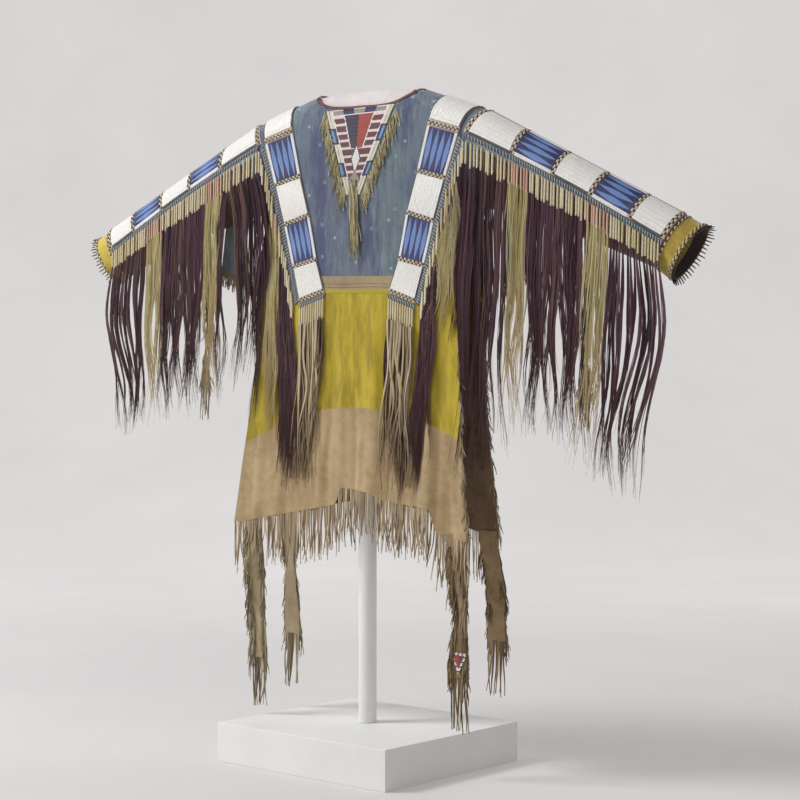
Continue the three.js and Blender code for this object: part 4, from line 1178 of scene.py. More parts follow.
def ticksAlong(name, place, length, replaces):
    # place(run, down): run along the band, down across it, both from 0 to 1
    count = int(length / bandTick["pitch"])
    run = evenly(count)
    points, out = place(run, np.full(count, 0.5))
    before = place(run - 0.45 / count * 2, np.zeros(count))[0]
    after = place(run + 0.45 / count * 2, np.ones(count))[0]
    tones = np.where(np.arange(count) % 2 == 0, 0.1, 0.85) + 0.1 * (uneven(count, 8) - 0.5)
    size = (bandTick["length"], bandTick["width"], bandTick["height"])
    ticks = beads(name, points + out * 3.4, after - before, out, size, look["ticks"], tones)
    finishPiece(ticks, replaces)


def stitchedBand(label, columns, band, ticks, length, node):
    thick = bandTick["backing"]
    backing = clothGrid(f"{label}_backing", columns, 4, band, look["band"], thick, -1, relief=same(3.0))
    finishPiece(backing, node)
    ticksAlong(f"{label}_stitches", ticks, length, node)


def wrappedSticks(name, root, outward, length, tones, replaces):
    count = len(root)
    at = np.linspace(0, 1, 9)
    drop = np.zeros((count, 9, 3))
    drop[:, :, 2] = -at[None, :] * length[:, None]
    routes = root[:, None] + drop + outward[:, None] * 1.2
    width = locks["stickWidth"] * np.array([0.8, 1.0, 0.94, 1.03, 0.95, 1.04, 0.95, 1.02, 0.8])
    sticks = strands(name, routes, width, width, outward, look["quill"], ringSides=6, tones=tones)
    finishPiece(sticks, replaces)
    return routes[:, -1]


def hairRoutes(root, tipZ, bulge, drift, reach, each, seed, wave=7.4, spread=3.0, rings=14):
    # a lock's strands share one wave; neighbouring locks gather in clusters that part lower down
    rng = np.random.default_rng(seed)
    count = len(root)
    far = np.abs(np.diff(root[:, 0], prepend=root[0, 0])) > 14
    cluster = np.cumsum((rng.random(count) < 0.36) | far)
    middle = np.array([root[cluster == c, 0].mean() for c in cluster])
    phase = rng.uniform(0, 6.28, cluster.max() + 1)[cluster] + rng.normal(0, 0.7, count)
    sway = rng.normal(0, 5.5, cluster.max() + 1)[cluster]
    waves, pull = rng.uniform(8, 12.5, count), rng.uniform(0.2, 0.85, count)
    late = np.clip(np.abs(drift) / 20, 0, 1)  # swept locks keep apart until near their tips
    pull = pull * mix(1, 0.5, late)

    def strandwise(values):
        return np.repeat(values, each)[:, None]

    n = count * each
    cut = 0.46 + 0.54 * rng.random(n) ** 0.62
    f = np.linspace(0, 1, rings)[None] * cut[:, None]
    turn, away = rng.random(n) * 2 * math.pi, np.sqrt(rng.random(n)) * np.repeat(reach, each)
    loose = rng.normal(0, spread, (n, 2)) * np.where(rng.random(n) < 0.07, 3.5, 1)[:, None]
    open_ = 0.35 + 0.65 * smoothStep(f * 5) - 0.72 * smoothStep(f * 1.25 - 0.25)
    own = 1.5 * np.sin(f * rng.uniform(9, 20, n)[:, None] + rng.random(n)[:, None] * 6) * smoothStep(f * 3)
    x = strandwise(root[:, 0]) + strandwise((middle - root[:, 0]) * pull) * smoothStep(f * 1.6 - 0.3)
    ripple = np.sin(f * strandwise(waves) + strandwise(phase)) - np.sin(strandwise(phase))
    x = x + wave * ripple * f ** 0.7 * (1 - 0.35 * strandwise(late))
    x = x + strandwise(bulge) * np.sin(np.minimum(f / 0.62, 1.35) * math.pi)
    x = x + strandwise(drift) * smoothStep(f * 1.5 - 0.35) + strandwise(sway) * f ** 1.5
    x = x + (away * np.cos(turn))[:, None] * open_ + loose[:, :1] * f ** 3 + own
    y = strandwise(root[:, 1]) + 0.6 * wave * np.sin(f * strandwise(waves) * 0.8 + strandwise(phase) + 2) * f
    y = y + (away * np.sin(turn))[:, None] * open_ * 0.8 + loose[:, 1:] * f ** 3
    z = strandwise(root[:, 2]) + strandwise(tipZ - root[:, 2]) * f
    return np.stack([x, y, z], -1)


def hairTones(count, seed, each=1):
    lock = np.repeat(uneven(count // each, seed + 2), each)
    tones = 0.42 * lock + 0.42 * uneven(count, seed)
    return np.where(uneven(count, seed + 1) < 0.05, 0.95, tones)


def hairLocks(name, routes, tones, material, replaces):
    s = np.linspace(0, 1, routes.shape[1])
    taper = locks["hairWidth"] * np.clip((1 - s) * 2.4, 0.14, 1) ** 0.7
    hair = strands(name, routes, taper, taper * 0.8, (0, -1, 0), material, ringSides=3, tones=tones)
    finishPiece(hair, replaces, 80)


def hangHair(name, kind, routes, each, node):
    if kind == "dark":
        hairLocks(name, routes, hairTones(len(routes), 9, each), look["hair"], node)
    else:
        hairLocks(name, routes, uneven(len(routes), 9), look["paleHair"], node)


sleeveLocks = {
    "start": 292, "end": 711, "stand": 3.4, "longStick": 46, "shortStick": 36,
    "tipSpread": 44, "bulge": 13, "drift": -27, "wide": 6.6, "narrow": 2.7, "each": {"dark": 17, "pale": 12},
}
parting = {"inward": -44, "inBulge": -22, "firstDrift": 10, "firstBulge": 14, "outward": 20, "outBulge": 16}


def makeSleeveLocks(hand):
    side = sideOf[hand]
    node = [f"sleeve_locks_{hand}"]
    count = locks["perSleeve"]
    size = sleeveLocks

    def band(run, down):
        x = mix(size["start"], size["end"], run)
        return onSide(onSleeve(x - stripSlant(x), mix(stripLow + 1.4, stripLow + 13, down), -1), side)

    stitchedBand(f"sleeve_band_{hand}", 120, band, lambda run, down: band(run, down * 0.85), 470, node)
    run = (np.arange(count) + 0.5 + 0.5 * (uneven(count, 11) - 0.5)) / count
    root, out = band(run, np.full(count, 0.74))
    root = root + out * (size["stand"] + 1.6 * uneven(count, 10))[:, None]
    pale = np.zeros(count, bool)
    for low, high in paleGroups:
        pale |= (run > low) & (run < high)
    length = mix(size["longStick"], size["shortStick"], run) + 8 * (uneven(count, 12) - 0.5)
    pink = pale & (uneven(count, 19) > 0.35)
    stickTones = np.where(pink, 0.6 + 0.4 * uneven(count, 2), 0.3 * uneven(count, 4))
    stickTones = np.where(run > 0.76, 0.12 + 0.4 * uneven(count, 6), stickTones)
    ends = wrappedSticks(f"sleeve_sticks_{hand}", root, facing(-1, count), length, stickTones, node)
    tipZ = readTable(tipTable[hand], 1, run) + size["tipSpread"] * (uneven(count, 21) - 0.5)
    outer = smoothStep((run - 0.6) / 0.4)
    bulge = side * (size["bulge"] * outer + 2 * np.sin(run * 23))
    drift = side * size["drift"] * outer
    if hand == "right":
        away = run - partShare
        after, first = np.exp(-np.abs(away) / 0.05), np.exp(-run / 0.03)
        inward = parting["inward"] - parting["firstDrift"] * first
        inBulge = parting["inBulge"] - parting["firstBulge"] * first
        drift = drift + side * np.where(away < 0, inward, parting["outward"] * after)
        bulge = bulge + side * np.where(away < 0, inBulge, parting["outBulge"] * after)
    reach = mix(size["wide"], size["narrow"], smoothStep((run - 0.66) / 0.12))
    for kind, mask in (("dark", ~pale), ("pale", pale)):
        each = size["each"][kind]
        roots = ends[mask] + [0, 1, 5]
        routes = hairRoutes(roots, tipZ[mask], bulge[mask], drift[mask], reach[mask], each, 31 + side)
        hangHair(f"sleeve_hair_{kind}_{hand}", kind, routes, each, node)


chestLocks = {
    "count": {"front": 26, "back": 18}, "longTip": 566, "shortTip": 690, "paleTips": (830, 900),
    "aim": (134, 200), "each": {"dark": 24, "pale": 9}, "reach": {"dark": 8.5, "pale": 6.0}, "wave": 7.0,
}


def labelOf(name):
    return "chest" if name == "front" else "back"


def overBody(routes, face):
    # how deep the body's surface lies behind each place of the routes
    return onBody(routes[..., 0], np.maximum(routes[..., 2], 480), face)[0][..., 1]


def makeChestLocks(hand, name):
    side, face, label, size = sideOf[hand], faceOf[name], labelOf(name), chestLocks
    node = [f"{label}_locks_{hand}"]
    count = size["count"][name]

    def band(run, down):
        row = face * -1 * mix(1.03, 4.98, run)
        return onStrip(row, -down * strip["band"] / 68 - 0.02, side)

    stitchedBand(f"{label}_band_{hand}", 100, band, band, 345, node)
    run = evenly(count)
    root, out = band(run, 0.75 + 0.5 * uneven(count, 13))
    root = root + out * (3.4 + 2 * uneven(count, 10))[:, None]
    length = 32 + 14 * uneven(count, 14)
    pale = (run > 0.12) & (run < 0.5)
    tones = np.where(pale, 0.3 + 0.5 * uneven(count, 15), 0.3 * uneven(count, 16))
    ends = wrappedSticks(f"{label}_sticks_{hand}", root, facing(face, count), length, tones, node)
    tipZ = mix(size["shortTip"], size["longTip"], smoothStep(run * 1.2)) + 50 * (uneven(count, 22) - 0.5)
    if (hand, name) == ("left", "front"):
        tipZ = np.where(run < 0.5, mix(*size["paleTips"], uneven(count, 24)), tipZ)
    for kind, mask in (("dark", ~pale), ("pale", pale)):
        aim = side * mix(*size["aim"], uneven(mask.sum(), 23))
        drift = np.where(run[mask] > 0.5, aim - ends[mask][:, 0], side * -6.0)
        each = size["each"][kind]
        reach = np.full(mask.sum(), size["reach"][kind])
        seed = 43 + side + face
        roots = ends[mask] + [0, 0, 5]
        routes = hairRoutes(roots, tipZ[mask], drift * 0.15, drift, reach, each, seed, size["wave"])
        # the hair lies on the body: its own depth is kept only as a small stand-off
        own = np.abs(routes[..., 1] - ends[mask].repeat(each, axis=0)[:, 1:2])
        routes[..., 1] = overBody(routes, face) + face * (4.0 + 0.6 * own)
        hangHair(f"{label}_hair_{kind}_{hand}", kind, routes, each, node)


chestThongs = {
    "count": 11, "broad": 5.4, "thin": 2.6, "thick": 2.8, "broadTips": (560, 650), "thinTips": (540, 640),
    "hairEach": 18, "hairReach": 5.5, "hairWave": 6.0,
}


def makeChestThongs(hand, name):
    side, face, label, size = sideOf[hand], faceOf[name], labelOf(name), chestThongs
    node = [f"{label}_thongs_{hand}"]
    count = size["count"]

    def band(run, down):
        low = onStrip(np.full(len(run), face * -5.0), 1 - run, side)[0]
        return onBody(low[:, 0], low[:, 2] - 2 - down * 11, face)

    stitchedBand(f"{label}_low_band_{hand}", 30, band, lambda run, down: band(run, down * 0.9), 66, node)
    root, out = band(evenly(count), np.full(count, 0.8))
    root = root + out * 3.6
    length = 38 + 10 * uneven(count, 17)
    tones = 0.5 * uneven(count, 18)
    ends = wrappedSticks(f"{label}_low_sticks_{hand}", root, facing(face, count), length, tones, node)
    rng = np.random.default_rng(60 + side + face)
    s = np.linspace(0, 1, 22)
    n = 2 * count
    thin = np.arange(n) >= count  # finer thongs hang between the broad ones
    base = np.concatenate([ends, ends + [3, 0, 0]]) + [0, 0, 4]
    low = np.where(thin, rng.uniform(*size["thinTips"], n), rng.uniform(*size["broadTips"], n))
    roots = ends[::2] + [0, 0, 6]
    k = len(roots)
    tips, aside = rng.uniform(525, 580, k), side * rng.uniform(-8, 16, k)
    reach, each = np.full(k, size["hairReach"]), size["hairEach"]
    hair = hairRoutes(roots, tips, np.zeros(k), aside, reach, each, 67 + side + face, size["hairWave"])
    hair[..., 1] = overBody(hair, face) + face * (2.4 + 3.2 * uneven(len(hair), 69))[:, None]
    hairLocks(f"{label}_low_hair_{hand}", hair, hairTones(len(hair), 68), look["hair"], node)
    beat = rng.uniform(6.5, 9.5, n)[:, None]
    wide = rng.normal(0, 6.5, n)[:, None]
    swing = wide * np.sin(s * beat + rng.random(n)[:, None] * 1.2) * smoothStep(s * 2.4)
    x = base[:, :1] + swing + rng.normal(0, 9, n)[:, None] * s ** 1.3
    z = mix(base[:, 2:], low[:, None], s[None])
    y = onBody(x, z, face)[0][..., 1] + face * (4.0 + rng.uniform(0, 6, n))[:, None]
    taper = np.where(thin, size["thin"], size["broad"])[:, None] * np.clip((1 - s) * 2.2, 0.4, 1)
    twist = rng.normal(0, 0.4, n)[:, None] + rng.normal(0, 1.2, n)[:, None] * s
    tones = np.where(thin, 0.45 * rng.random(n), 0.55 + 0.45 * rng.random(n))
    thongs = strands(
        f"{label}_long_thongs_{hand}", np.stack([x, y, z], -1), taper, np.minimum(taper, size["thick"]),
        (0, float(face), 0), look["softThong"], 6, twist, tones,
    )
    finishPiece(thongs, node)


for hand in sideOf:
    makeSleeveLocks(hand)
    for name in faceOf:
        makeChestLocks(hand, name)
        makeChestThongs(hand, name)
print("locks ready")


# Fringes cut in the hide
def cutFringe(
    name, root, face, length, material, replaces, width, thick, seed, curl=3.0, lean=None, rings=8, depth=2.0,
):
    # curl and depth: how far strands swing sideways and stand in or out; lean: how far each one leans
    count = len(root)
    outward = facing(face, count)
    rng = np.random.default_rng(seed)
    s = np.linspace(0, 1, rings)
    lean = np.zeros((count, 3)) if lean is None else lean
    down = np.zeros((count, rings, 3))
    down[..., 2] = -length[:, None] * s
    across = unit(np.cross(outward, np.array([0, 0, 1.0])))
    swing = rng.normal(0, curl, count)[:, None] * np.sin(s * math.pi * 1.3 + rng.random(count)[:, None] * 2) * s
    swing = swing + rng.normal(0, curl, count)[:, None] * s ** 1.5
    inOut = rng.normal(0, depth, count)[:, None] * s ** 1.3
    routes = root[:, None] + down + across[:, None] * swing[..., None] + outward[:, None] * inOut[..., None]
    droop = 1 - (1 - s) ** 2.2  # a leaning strand goes out first and then hangs
    routes = routes + lean[:, None] * droop[None, :, None]
    taper = width * np.clip((1 - s) * 3, 0.4, 1)
    twist = rng.normal(0, 0.4, count)[:, None] + rng.normal(0, 1.6, count)[:, None] * s
    fringe = strands(name, routes, taper, thick, outward, material, 4, twist, rng.random(count))
    return finishPiece(fringe, replaces)


def makeHemFringe(name, label, start, end, count):
    face = faceOf[name]
    run = evenly(count)
    share = mix(start, end, run)
    z = hemHeight(np.maximum(share, -0.075) if label == "_middle" else share, face) + 3
    root, out = onBody(share * halfWidth(z), z, face)
    length = 82 + 34 * uneven(count, 71 + face)
    node = f"hem_fringe_{name}{label}"
    cutFringe(f"{node}_thongs", root, face, length, look["hemThong"], [node], 4.0, 1.8, 73 + count, 4.6)


def makeSideFringe(name):
    # short curling fringe down the open side edges of each skirt
    face = faceOf[name]
    count = 110
    roots, outs = [], []
    ways = (1,) if name == "front" else (1, -1)
    for way in ways:
        z = np.linspace(900, 486, count)
        root, out = onBody(way * (halfWidth(z) - 1), z, face)
        roots.append(root)
        outs.append(np.tile([way * 0.9, 0.35 * face, 0], (count, 1)))
    root, lean = np.concatenate(roots), np.concatenate(outs)
    rng = np.random.default_rng(81 + face)
    length = rng.uniform(20, 44, len(root))
    lean = lean * rng.uniform(2, 11, len(root))[:, None]
    cutFringe(f"side_fringe_{name}", root, face, length, look["thong"], (), 2.6, 1.6, 83 + face, 3.0, lean, 7)


makeHemFringe("front", "_right", -1, -0.115, 58)
makeHemFringe("front", "_middle", -0.1, 0.715, 54)
makeHemFringe("front", "_left", 0.742, 1, 24)
makeHemFringe("back", "", -1, 1, 116)
for name in faceOf:
    makeSideFringe(name)
print("fringes ready")


# Leg pendants
legs = {  # face, x at the hem, in the middle and at the end, height of the end and of its tips
    "leg_front_right": (-1, -240, -228, -216, 192, 88), "leg_front_left": (-1, 262, 278, 279, 206, 98),
    "leg_back_right": (1, -232, -222, -214, 232, 118), "leg_back_left": (1, 270, 291, 297, 270, 160),
}


def legDepth(x, z, face):
    return onBody(x, np.maximum(z, 470), face)[0][..., 1] - face * (hide["thick"] + hide["sag"])


def makeLeg(name):
    face, topX, midX, endX, endZ, tipZ = legs[name]
    top = float(hemHeight(topX / 290, face)) + 10
    middle = (top + endZ) / 2
    rows = [
        (endZ, endX, 20), ((middle + endZ) / 2, (midX + endX) / 2, 18), (middle, midX, 17),
        ((top + middle) / 2, (topX + midX) / 2, 19), (top - 30, topX, 21), (top, topX, 21),
    ]
    curl = {"leg_front_right": 0.5, "leg_front_left": -0.35, "leg_back_right": 0.4, "leg_back_left": -0.4}[name]

    def at(across, z):
        # the strip curls a little about its own middle on the way down
        fall = smoothStep((top - 30 - z) / (top - 30 - endZ))
        turn = (curl * np.sin(fall * math.pi) + 0.2 * np.sin(fall * 9)) * (1 - smoothStep((fall - 0.6) / 0.17))
        half = readTable(rows, 2, z, 10)
        x = readTable(rows, 1, z, 20)
        y = legDepth(x, z, face)
        aside = across * half
        return np.stack([x + aside * np.cos(turn), y + aside * np.sin(turn) * -face, z + 0 * x], -1)

    def place(u, v):
        z = mix(top, endZ, v)
        points = at(u * 2 - 1, z)
        return points, facing(face, len(u))

    # the legs on the left, away from the light, take darker copies of the hide and thongs: painted shade
    onLeft = "left" in name
    thong = look["shadedLegThong" if onLeft else "thong"]
    core = clothGrid(f"{name}_strip", 14, 90, place, look["leg" if onLeft else "tan"], thick=1.8)
    finishPiece(core, [name])

    count = 118
    rng = np.random.default_rng(topX + 400)
    roots, leans = [], []
    for way in (-1, 1):
        z = np.linspace(top - 24, endZ + 3, count) + rng.uniform(-1.5, 1.5, count)
        across = way * (1 - 0.5 * rng.random(count) ** 1.6)
        roots.append(at(across, z) + [0, face * 2.4, 0])
        leanOut, leanUp = way * rng.uniform(-1, 7, count), face * rng.uniform(0, 3, count)
        leans.append(np.stack([leanOut, leanUp, np.zeros(count)], -1))
    root, lean = np.concatenate(roots), np.concatenate(leans)
    length = rng.uniform(26, 56, 2 * count)
    cutFringe(f"{name}_side_fringe", root, face, length, thong, (), 3.0, 1.6, 491 + topX, 2.6, lean, 7, 1.0)
    count = 10
    share = evenly(count) * 2 - 1
    root = at(share * 0.94, np.full(count, endZ + 2.0))
    length = endZ - tipZ + rng.uniform(-8, 4, count)
    ends = [f"{name}_fringe"]
    cutFringe(f"{name}_end_thongs", root, face, length, thong, ends, 4.4, 2.0, 495 + topX, 3.2, None, 12, 3.0)


for name in legs:
    makeLeg(name)
print("legs ready")


# Bib
def chartMaterial(name, colors):
    # each face carries the number of its bead colour
    material, net, shader, place = newMaterial(name, 0.34, 0.0, 0.15)
    number = net.math("DIVIDE", net.plus(net.attribute("bead"), 0.5), len(colors))
    stops = [(i / len(colors), color) for i, color in enumerate(colors)]
    dressBeads(net, shader, place, net.ramp(number, stops, constant=True))
    return material


chartColors = {
    "cream": (222, 216, 196), "white": (232, 228, 226), "navy": (34, 32, 92), "light": (112, 146, 190),
    "black": (34, 30, 34), "brown": (92, 44, 44), "pink": (228, 208, 208), "red": (158, 50, 34),
    "plum": (42, 26, 56), "grey": (150, 142, 134),
}
chartNumber = {name: i for i, name in enumerate(chartColors)}
look["chart"] = chartMaterial("chartBeads", list(chartColors.values()))


def bibBeads(x, y, half):
    # the colour of a bead x mm from the bib's middle line and y mm below its top edge
    edge = half - np.abs(x)
    joins = np.array([38, 66, 107, 133])
    part = (y[:, None] > joins).sum(1)
    lane = edge < 6.6
    tone = np.full(len(x), "brown", dtype="<U6")
    tone[(y - 12) % 15.8 < 5.2] = "pink"
    inner = 36 * (1 - (y - 12) / 107)
    inside = (np.abs(x) < inner) & (y < 78)
    tone[(np.abs(x) < inner + 2.4) & (y < 78)] = "white"
    tone[inside & (x < 0)] = "plum"
    tone[inside & (x >= 0)] = "red"
    diamond = 10 * (1 - np.abs((y - 100) / 26))
    tone[np.abs(x) < diamond + 2.4] = "plum"
    tone[np.abs(x) < diamond] = "white"
    tone[np.abs(x) < (y - 122) * 0.7] = "grey"
    tone[(y > 137) & (np.abs(x) > (y - 122) * 0.7)] = "brown"
    dash = np.floor((x / np.maximum(half - 15, 1) + 1) * 2.5).astype(int) % 2
    top = y < 12
    tone[top] = "white"
    tone[top & (dash == 1) & (y > 0.8) & (y < 10.4)] = "navy"
    tone[top & (dash == 0) & (np.abs(y - 6) < 3.8)] = "grey"
    tone[(edge < 15.4) & (y < 137)] = "white"
    border = edge < 13.2
    tone[border] = "cream"
    tone[border & (np.abs(edge - 6.6) < 0.8)] = "grey"
    tone[border & (part % 2 == 1) & lane] = "light"
    tone[border & (part % 2 == 1) & ~lane] = "navy"
    tone[border & (np.abs(y[:, None] - joins) < 1.8).any(1)] = "black"
    return np.array([chartNumber[name] for name in tone])


def nameFaces(piece, chart):
    # chart(u, v) gives each face its bead number
    uv = np.zeros(len(piece.data.loops) * 2, np.float32)
    piece.data.uv_layers.active.data.foreach_get("uv", uv)
    uv = uv.reshape(-1, 2)
    middle = np.array([uv[list(face.loop_indices)].mean(0) for face in piece.data.polygons])
    number = piece.data.attributes.new("bead", "FLOAT", "FACE")
    number.data.foreach_set("value", chart(middle[:, 0], 1 - middle[:, 1]).astype(np.float32))


def makeBib():
    tall = bibSize["topZ"] - bibSize["lowZ"]

    def edgeAt(v):
        return mix(bibSize["topMid"], bibSize["lowMid"], v), mix(bibSize["topHalf"], bibSize["lowHalf"], v)

    def place(u, v):
        # the top edge runs up towards the left, close under the neck edge
        middle, half = edgeAt(v)
        top = bibSize["topZ"] + mix(0.5, 6.5, u)
        return onBody(middle + (u * 2 - 1) * half, mix(top, bibSize["lowZ"], v), -1)

    def rise(u, v):
        half = edgeAt(v)[1]
        edge = half - np.abs(u * 2 - 1) * half
        lane = np.abs(np.sin(edge / 6.6 * math.pi)) ** 0.6
        row = np.abs(np.sin((v * tall - 12) / 7.9 * math.pi)) ** 0.6
        return 2.8 + 0.8 * np.where(edge < 13.2, lane, row * 0.7)

    bib = clothGrid("bib_beads", 92, 100, place, look["chart"], thick=2.2, offset=-1, relief=rise)
    nameFaces(bib, lambda u, v: bibBeads((u * 2 - 1) * edgeAt(v)[1], v * tall, edgeAt(v)[1]))
    finishPiece(bib, ["bib"])

    rng = np.random.default_rng(140)
    roots, leans = [], []
    count = 140
    for way in (-1, 1):
        v = np.linspace(0.0, 1.0, count)
        middle, half = edgeAt(v)
        x = middle + way * (half + rng.uniform(0.5, 7, count))
        z = mix(bibSize["topZ"], bibSize["lowZ"], v) - rng.uniform(0, 3, count)
        p, n = onBody(x, z, -1)
        roots.append(p + n * 2.6)
        leans.append(sideways(way * rng.uniform(0, 9, count)))
    root, lean = np.concatenate(roots), np.concatenate(leans)
    length = rng.uniform(24, 44, 2 * count)
    thong, node = look["bibThong"], ["bib_fringe"]
    cutFringe("bib_side_thongs", root, -1, length, thong, node, 2.1, 1.5, 141, 3.4, lean, 7, 1.2)
    count = 44
    x = bibSize["lowMid"] + rng.uniform(-10, 10, count)
    z = bibSize["lowZ"] + rng.uniform(-6, 34, count)
    p, n = onBody(x, z, -1)
    lean = sideways(rng.normal(0, 3, count) + 8 - (x - bibSize["lowMid"]) * 0.3)
    length = rng.uniform(96, 142, count)
    cutFringe("bib_long_thongs", p + n * 4.4, -1, length, thong, node, 2.4, 1.6, 143, 3.0, lean, 12, 1.4)


# Neck binding
def makeBinding():
    binding = {"tall": 4.6, "inward": 1.4}

    def place(u, v):
        turn = u * 2 * math.pi
        x = neck["half"] * np.cos(turn)
        row = (1 - v)
        inward = x * (1 - (binding["inward"] + row * binding["tall"] * 0.8) / neck["half"])
        near = smoothStep((np.abs(x) - neck["half"] + 8) / 7)
        places = []
        for face in (-1, 1):
            height = np.minimum(neckEdge(x, face) + row * binding["tall"], ridge(x))
            places.append(onBody(inward, mix(height, ridge(inward), near), face))
        isFront = (turn < math.pi)[:, None]
        return np.where(isFront, places[0][0], places[1][0]), np.where(isFront, places[0][1], places[1][1])

    wool = clothGrid("neck_binding_wool", 220, 5, place, look["wool"], thick=2.6, ring=True, relief=same(0.6))
    finishPiece(wool, ["neck_binding"])

    def stitchRow(face):
        x = np.linspace(-124, 124, 74)
        return onBody(x * 0.985, neckEdge(x, face) + 1.5, face)

    rows = [stitchRow(face) for face in (-1, 1)]
    points = np.concatenate([p for p, n in rows])
    out = np.concatenate([n for p, n in rows])
    lean = np.tile([0.5, 0, 1.0], (len(points), 1))
    tones = uneven(len(points), 3)
    stitches = beads("neck_stitches", points + out * 2.1, lean, out, (3.4, 1.0, 1.0), look["thong"], tones)
    finishPiece(stitches)

    rng = np.random.default_rng(150)
    ties = []
    for x, count, reach in ((-118, 4, 18), (121, 3, 12)):
        p, n = onBody(np.full(count, float(x)), neckEdge(np.full(count, float(x)), -1) + 3, -1)
        s = np.linspace(0, 1, 8)[None]
        aim = rng.normal(0, 1, (count, 3)) * [7, 1, 3] + [0, -3, 0]
        route = (p + n * 2.4)[:, None] + aim[:, None] * s[..., None]
        route[..., 2] += 5 * np.sin(s * math.pi) - reach * 0.5 * s ** 2
        ties.append(route)
    routes = np.concatenate(ties)
    tie = strands("neck_ties", routes, 2.4, 1.4, (0, -1, 0), look["wool"], 4, None, uneven(len(routes), 6))
    finishPiece(tie)


makeBib()
makeBinding()
print("bib and neck ready")


# Underarm flaps and the strips that hang below the sleeves
def sleeveUnder(x):
    low = onSleeve(np.linspace(240, 750, 52), np.full(52, 180.0), -1)[0]
    return np.interp(x, low[:, 0], low[:, 2]) - 1.25


def makeFlap(hand):
    side = sideOf[hand]
    flap = {"start": 320, "width": 63, "low": 972, "rise": 0.4}

    def place(u, v):
        x = flap["start"] + flap["width"] * u
        z = mix(sleeveUnder(x), flap["low"] + (x - flap["start"]) * flap["rise"], v)
        fold = 2.2 * np.sin(u * 7.5 + v) * v
        out = facing(-1, len(u))
        return onSide((np.stack([x + 6 * v, -0.4 - 6.6 * v + fold, z], -1), out), side)

    hideFlap = clothGrid(f"underarm_flap_{hand}_hide", 26, 44, place, look["flap"])
    finishPiece(hideFlap, [f"underarm_flap_{hand}"])
    edge = clothGrid(
        f"underarm_edge_{hand}_hide", 26, 5, lambda u, v: place(u, mix(0.9, 1.0, v)), look["tan"], thick=3.2,
    )
    finishPiece(edge, [f"underarm_flap_{hand}"])
    count = 30
    run = np.linspace(0.02, 0.98, count)
    root = place(run, np.full(count, 0.985))[0]
    length = 20 + 9 * uneven(count, 161)
    lean = np.tile([side * 3.0, 0, 0], (count, 1))
    node = [f"underarm_flap_fringe_{hand}"]
    cutFringe(f"underarm_fringe_{hand}", root, -1, length, look["thong"], node, 2.8, 1.6, 162, 2.0, lean, 6)


pendants = {"right": {"x": 430, "end": 746, "tips": 676}, "left": {"x": 512, "end": 752, "tips": 688}}


def makePendant(hand):
    side = sideOf[hand]
    spot = pendants[hand]
    top = float(sleeveUnder(spot["x"]))

    def place(u, v):
        half = mix(7, 10, v) + 1.5 * np.sin(v * 9)
        turn = 0.9 * np.sin(v * 7.0) * smoothStep(v * 4)
        across = (u * 2 - 1) * half
        x = side * spot["x"] + across * np.cos(turn) + 2.0 * np.sin(v * 6)
        z = mix(top, spot["end"], v) + side * across * -0.5 * (1 - smoothStep(v * 12))
        return np.stack([x, across * np.sin(turn), z], -1), facing(-1, len(u))

    core = clothGrid(f"sleeve_pendant_{hand}_strip", 8, 110, place, look["tan"], thick=1.8)
    finishPiece(core, [f"sleeve_pendant_{hand}"])
    rng = np.random.default_rng(170 + side)
    count = 54
    v = np.linspace(0.3, 0.98, count)
    way = np.where(np.arange(count) % 2 == 0, 1, -1)
    root = place((way * 0.92 + 1) / 2, v)[0]
    lean = np.stack([way * rng.uniform(0, 5, count), rng.normal(0, 3, count), np.zeros(count)], -1)
    length = rng.uniform(14, 30, count)
    label, thong = f"sleeve_pendant_{hand}", look["thong"]
    cutFringe(f"{label}_side_fringe", root, -1, length, thong, (), 2.6, 1.6, 171, 2.4, lean, 7)
    count = 7
    root = place(evenly(count), np.full(count, 0.995))[0]
    length = spot["end"] - spot["tips"] + rng.uniform(-14, 4, count)
    cutFringe(f"{label}_ends", root, -1, length, thong, [f"{label}_thongs"], 3.2, 1.8, 172, 2.4, None, 10)


for hand in sideOf:
    makeFlap(hand)
    makePendant(hand)


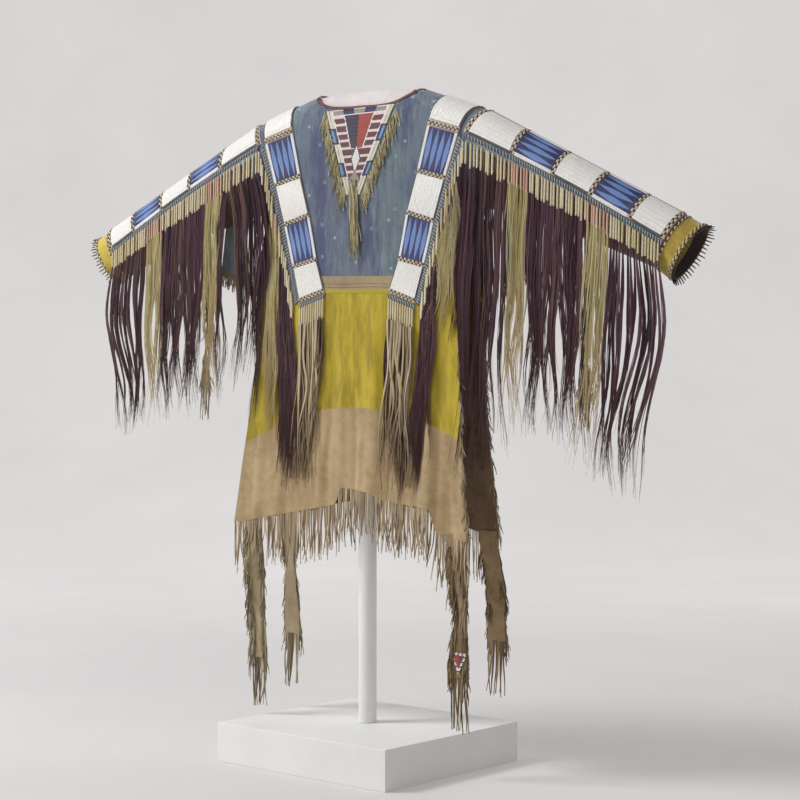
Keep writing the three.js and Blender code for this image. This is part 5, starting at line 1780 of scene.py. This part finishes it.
# Beaded triangle on a leg strip
def makeTriangle():
    size = {"half": 21, "tall": 41, "middle": 279, "z": 236, "edge": 4.2}

    def place(u, v):
        x = size["middle"] + (u * 2 - 1) * size["half"] * (1 - v * 0.999)
        z = size["z"] + 20 - v * size["tall"]
        y = legDepth(x, z, -1) - 4.0
        return np.stack([x, y, z], -1), facing(-1, len(u))

    def chart(u, v):
        x = (u * 2 - 1) * size["half"] * (1 - v)
        edge = np.minimum(v * size["tall"], (size["half"] * (1 - v) - np.abs(x)) * 0.9)
        run = np.where(v * size["tall"] < size["edge"], x + 18, v * size["tall"])
        tone = np.where(x > 3 - v * 6, "brown", "red")
        tone = np.where(edge < size["edge"], np.where(run % 9.5 < 6.2, "white", "brown"), tone)
        return np.array([chartNumber[name] for name in tone])

    triangle = clothGrid(
        "bead_triangle_beads", 26, 26, place, look["chart"], thick=1.6, offset=-1,
        relief=lambda u, v: 1.5 + 0.4 * np.abs(np.sin(v * 9 * math.pi)),
    )
    nameFaces(triangle, chart)
    finishPiece(triangle, ["bead_triangle"])


makeTriangle()


# Trim of the cuffs
def makeCuffTrim(hand):
    side = sideOf[hand]

    def around(x):
        def place(share):
            return roundSleeve(np.full(len(share), float(x)), share * 360 - 0.0001, side)
        return place

    rows = []
    ropes = ((sleeveEnds["cuff"] + 2.2, 0), (sleeveEnds["mouth"] - 4.6, 1), (sleeveEnds["mouth"] - 1.6, 0))
    for x, shift in ropes:
        count = 62
        at = evenly(count)
        points, out = around(x)(at)
        along = unit(around(x)(at + 0.004)[0] - points)
        across = unit(np.cross(out, along))
        kind, tones = darkAndPale(count, shift, 3)
        rows.append((points + out * 2.0, along + across * 0.4, out, tones, turnSize[kind] * [0.9, 0.75, 0.8]))
    parts = [np.concatenate(column) for column in zip(*rows)]
    rope = beads(f"cuff_{hand}_ropes", parts[0], parts[1], parts[2], parts[4], look["rope"], parts[3])
    finishPiece(rope, [f"cuff_{hand}"])

    # the cut edge round the mouth shows as a short dark fringe
    count = 46
    at = evenly(count)
    points, out = around(sleeveEnds["mouth"] - 1.2)(at)
    rng = np.random.default_rng(180 + side)
    ahead = unit(around(sleeveEnds["mouth"])(at)[0] - around(sleeveEnds["mouth"] - 6)(at)[0])
    s = np.linspace(0, 1, 5)[None]
    length = rng.uniform(9, 15, count)[:, None]
    routes = (points - out * 1.4)[:, None] + ahead[:, None] * (s * length)[..., None] * 0.8
    routes = routes + out[:, None] * (s ** 1.5 * length * 0.55)[..., None]
    routes[..., 2] -= (s ** 1.6 * 3.0)[0]
    taper = 3.4 * np.clip((1 - s[0]) * 3, 0.6, 1)
    tones = rng.random(count)
    fringe = strands(f"cuff_{hand}_cut_fringe", routes, taper, 1.4, (0, -1, 0), look["black"], 4, None, tones)
    finishPiece(fringe)


for hand in sideOf:
    makeCuffTrim(hand)
print("small pieces ready")
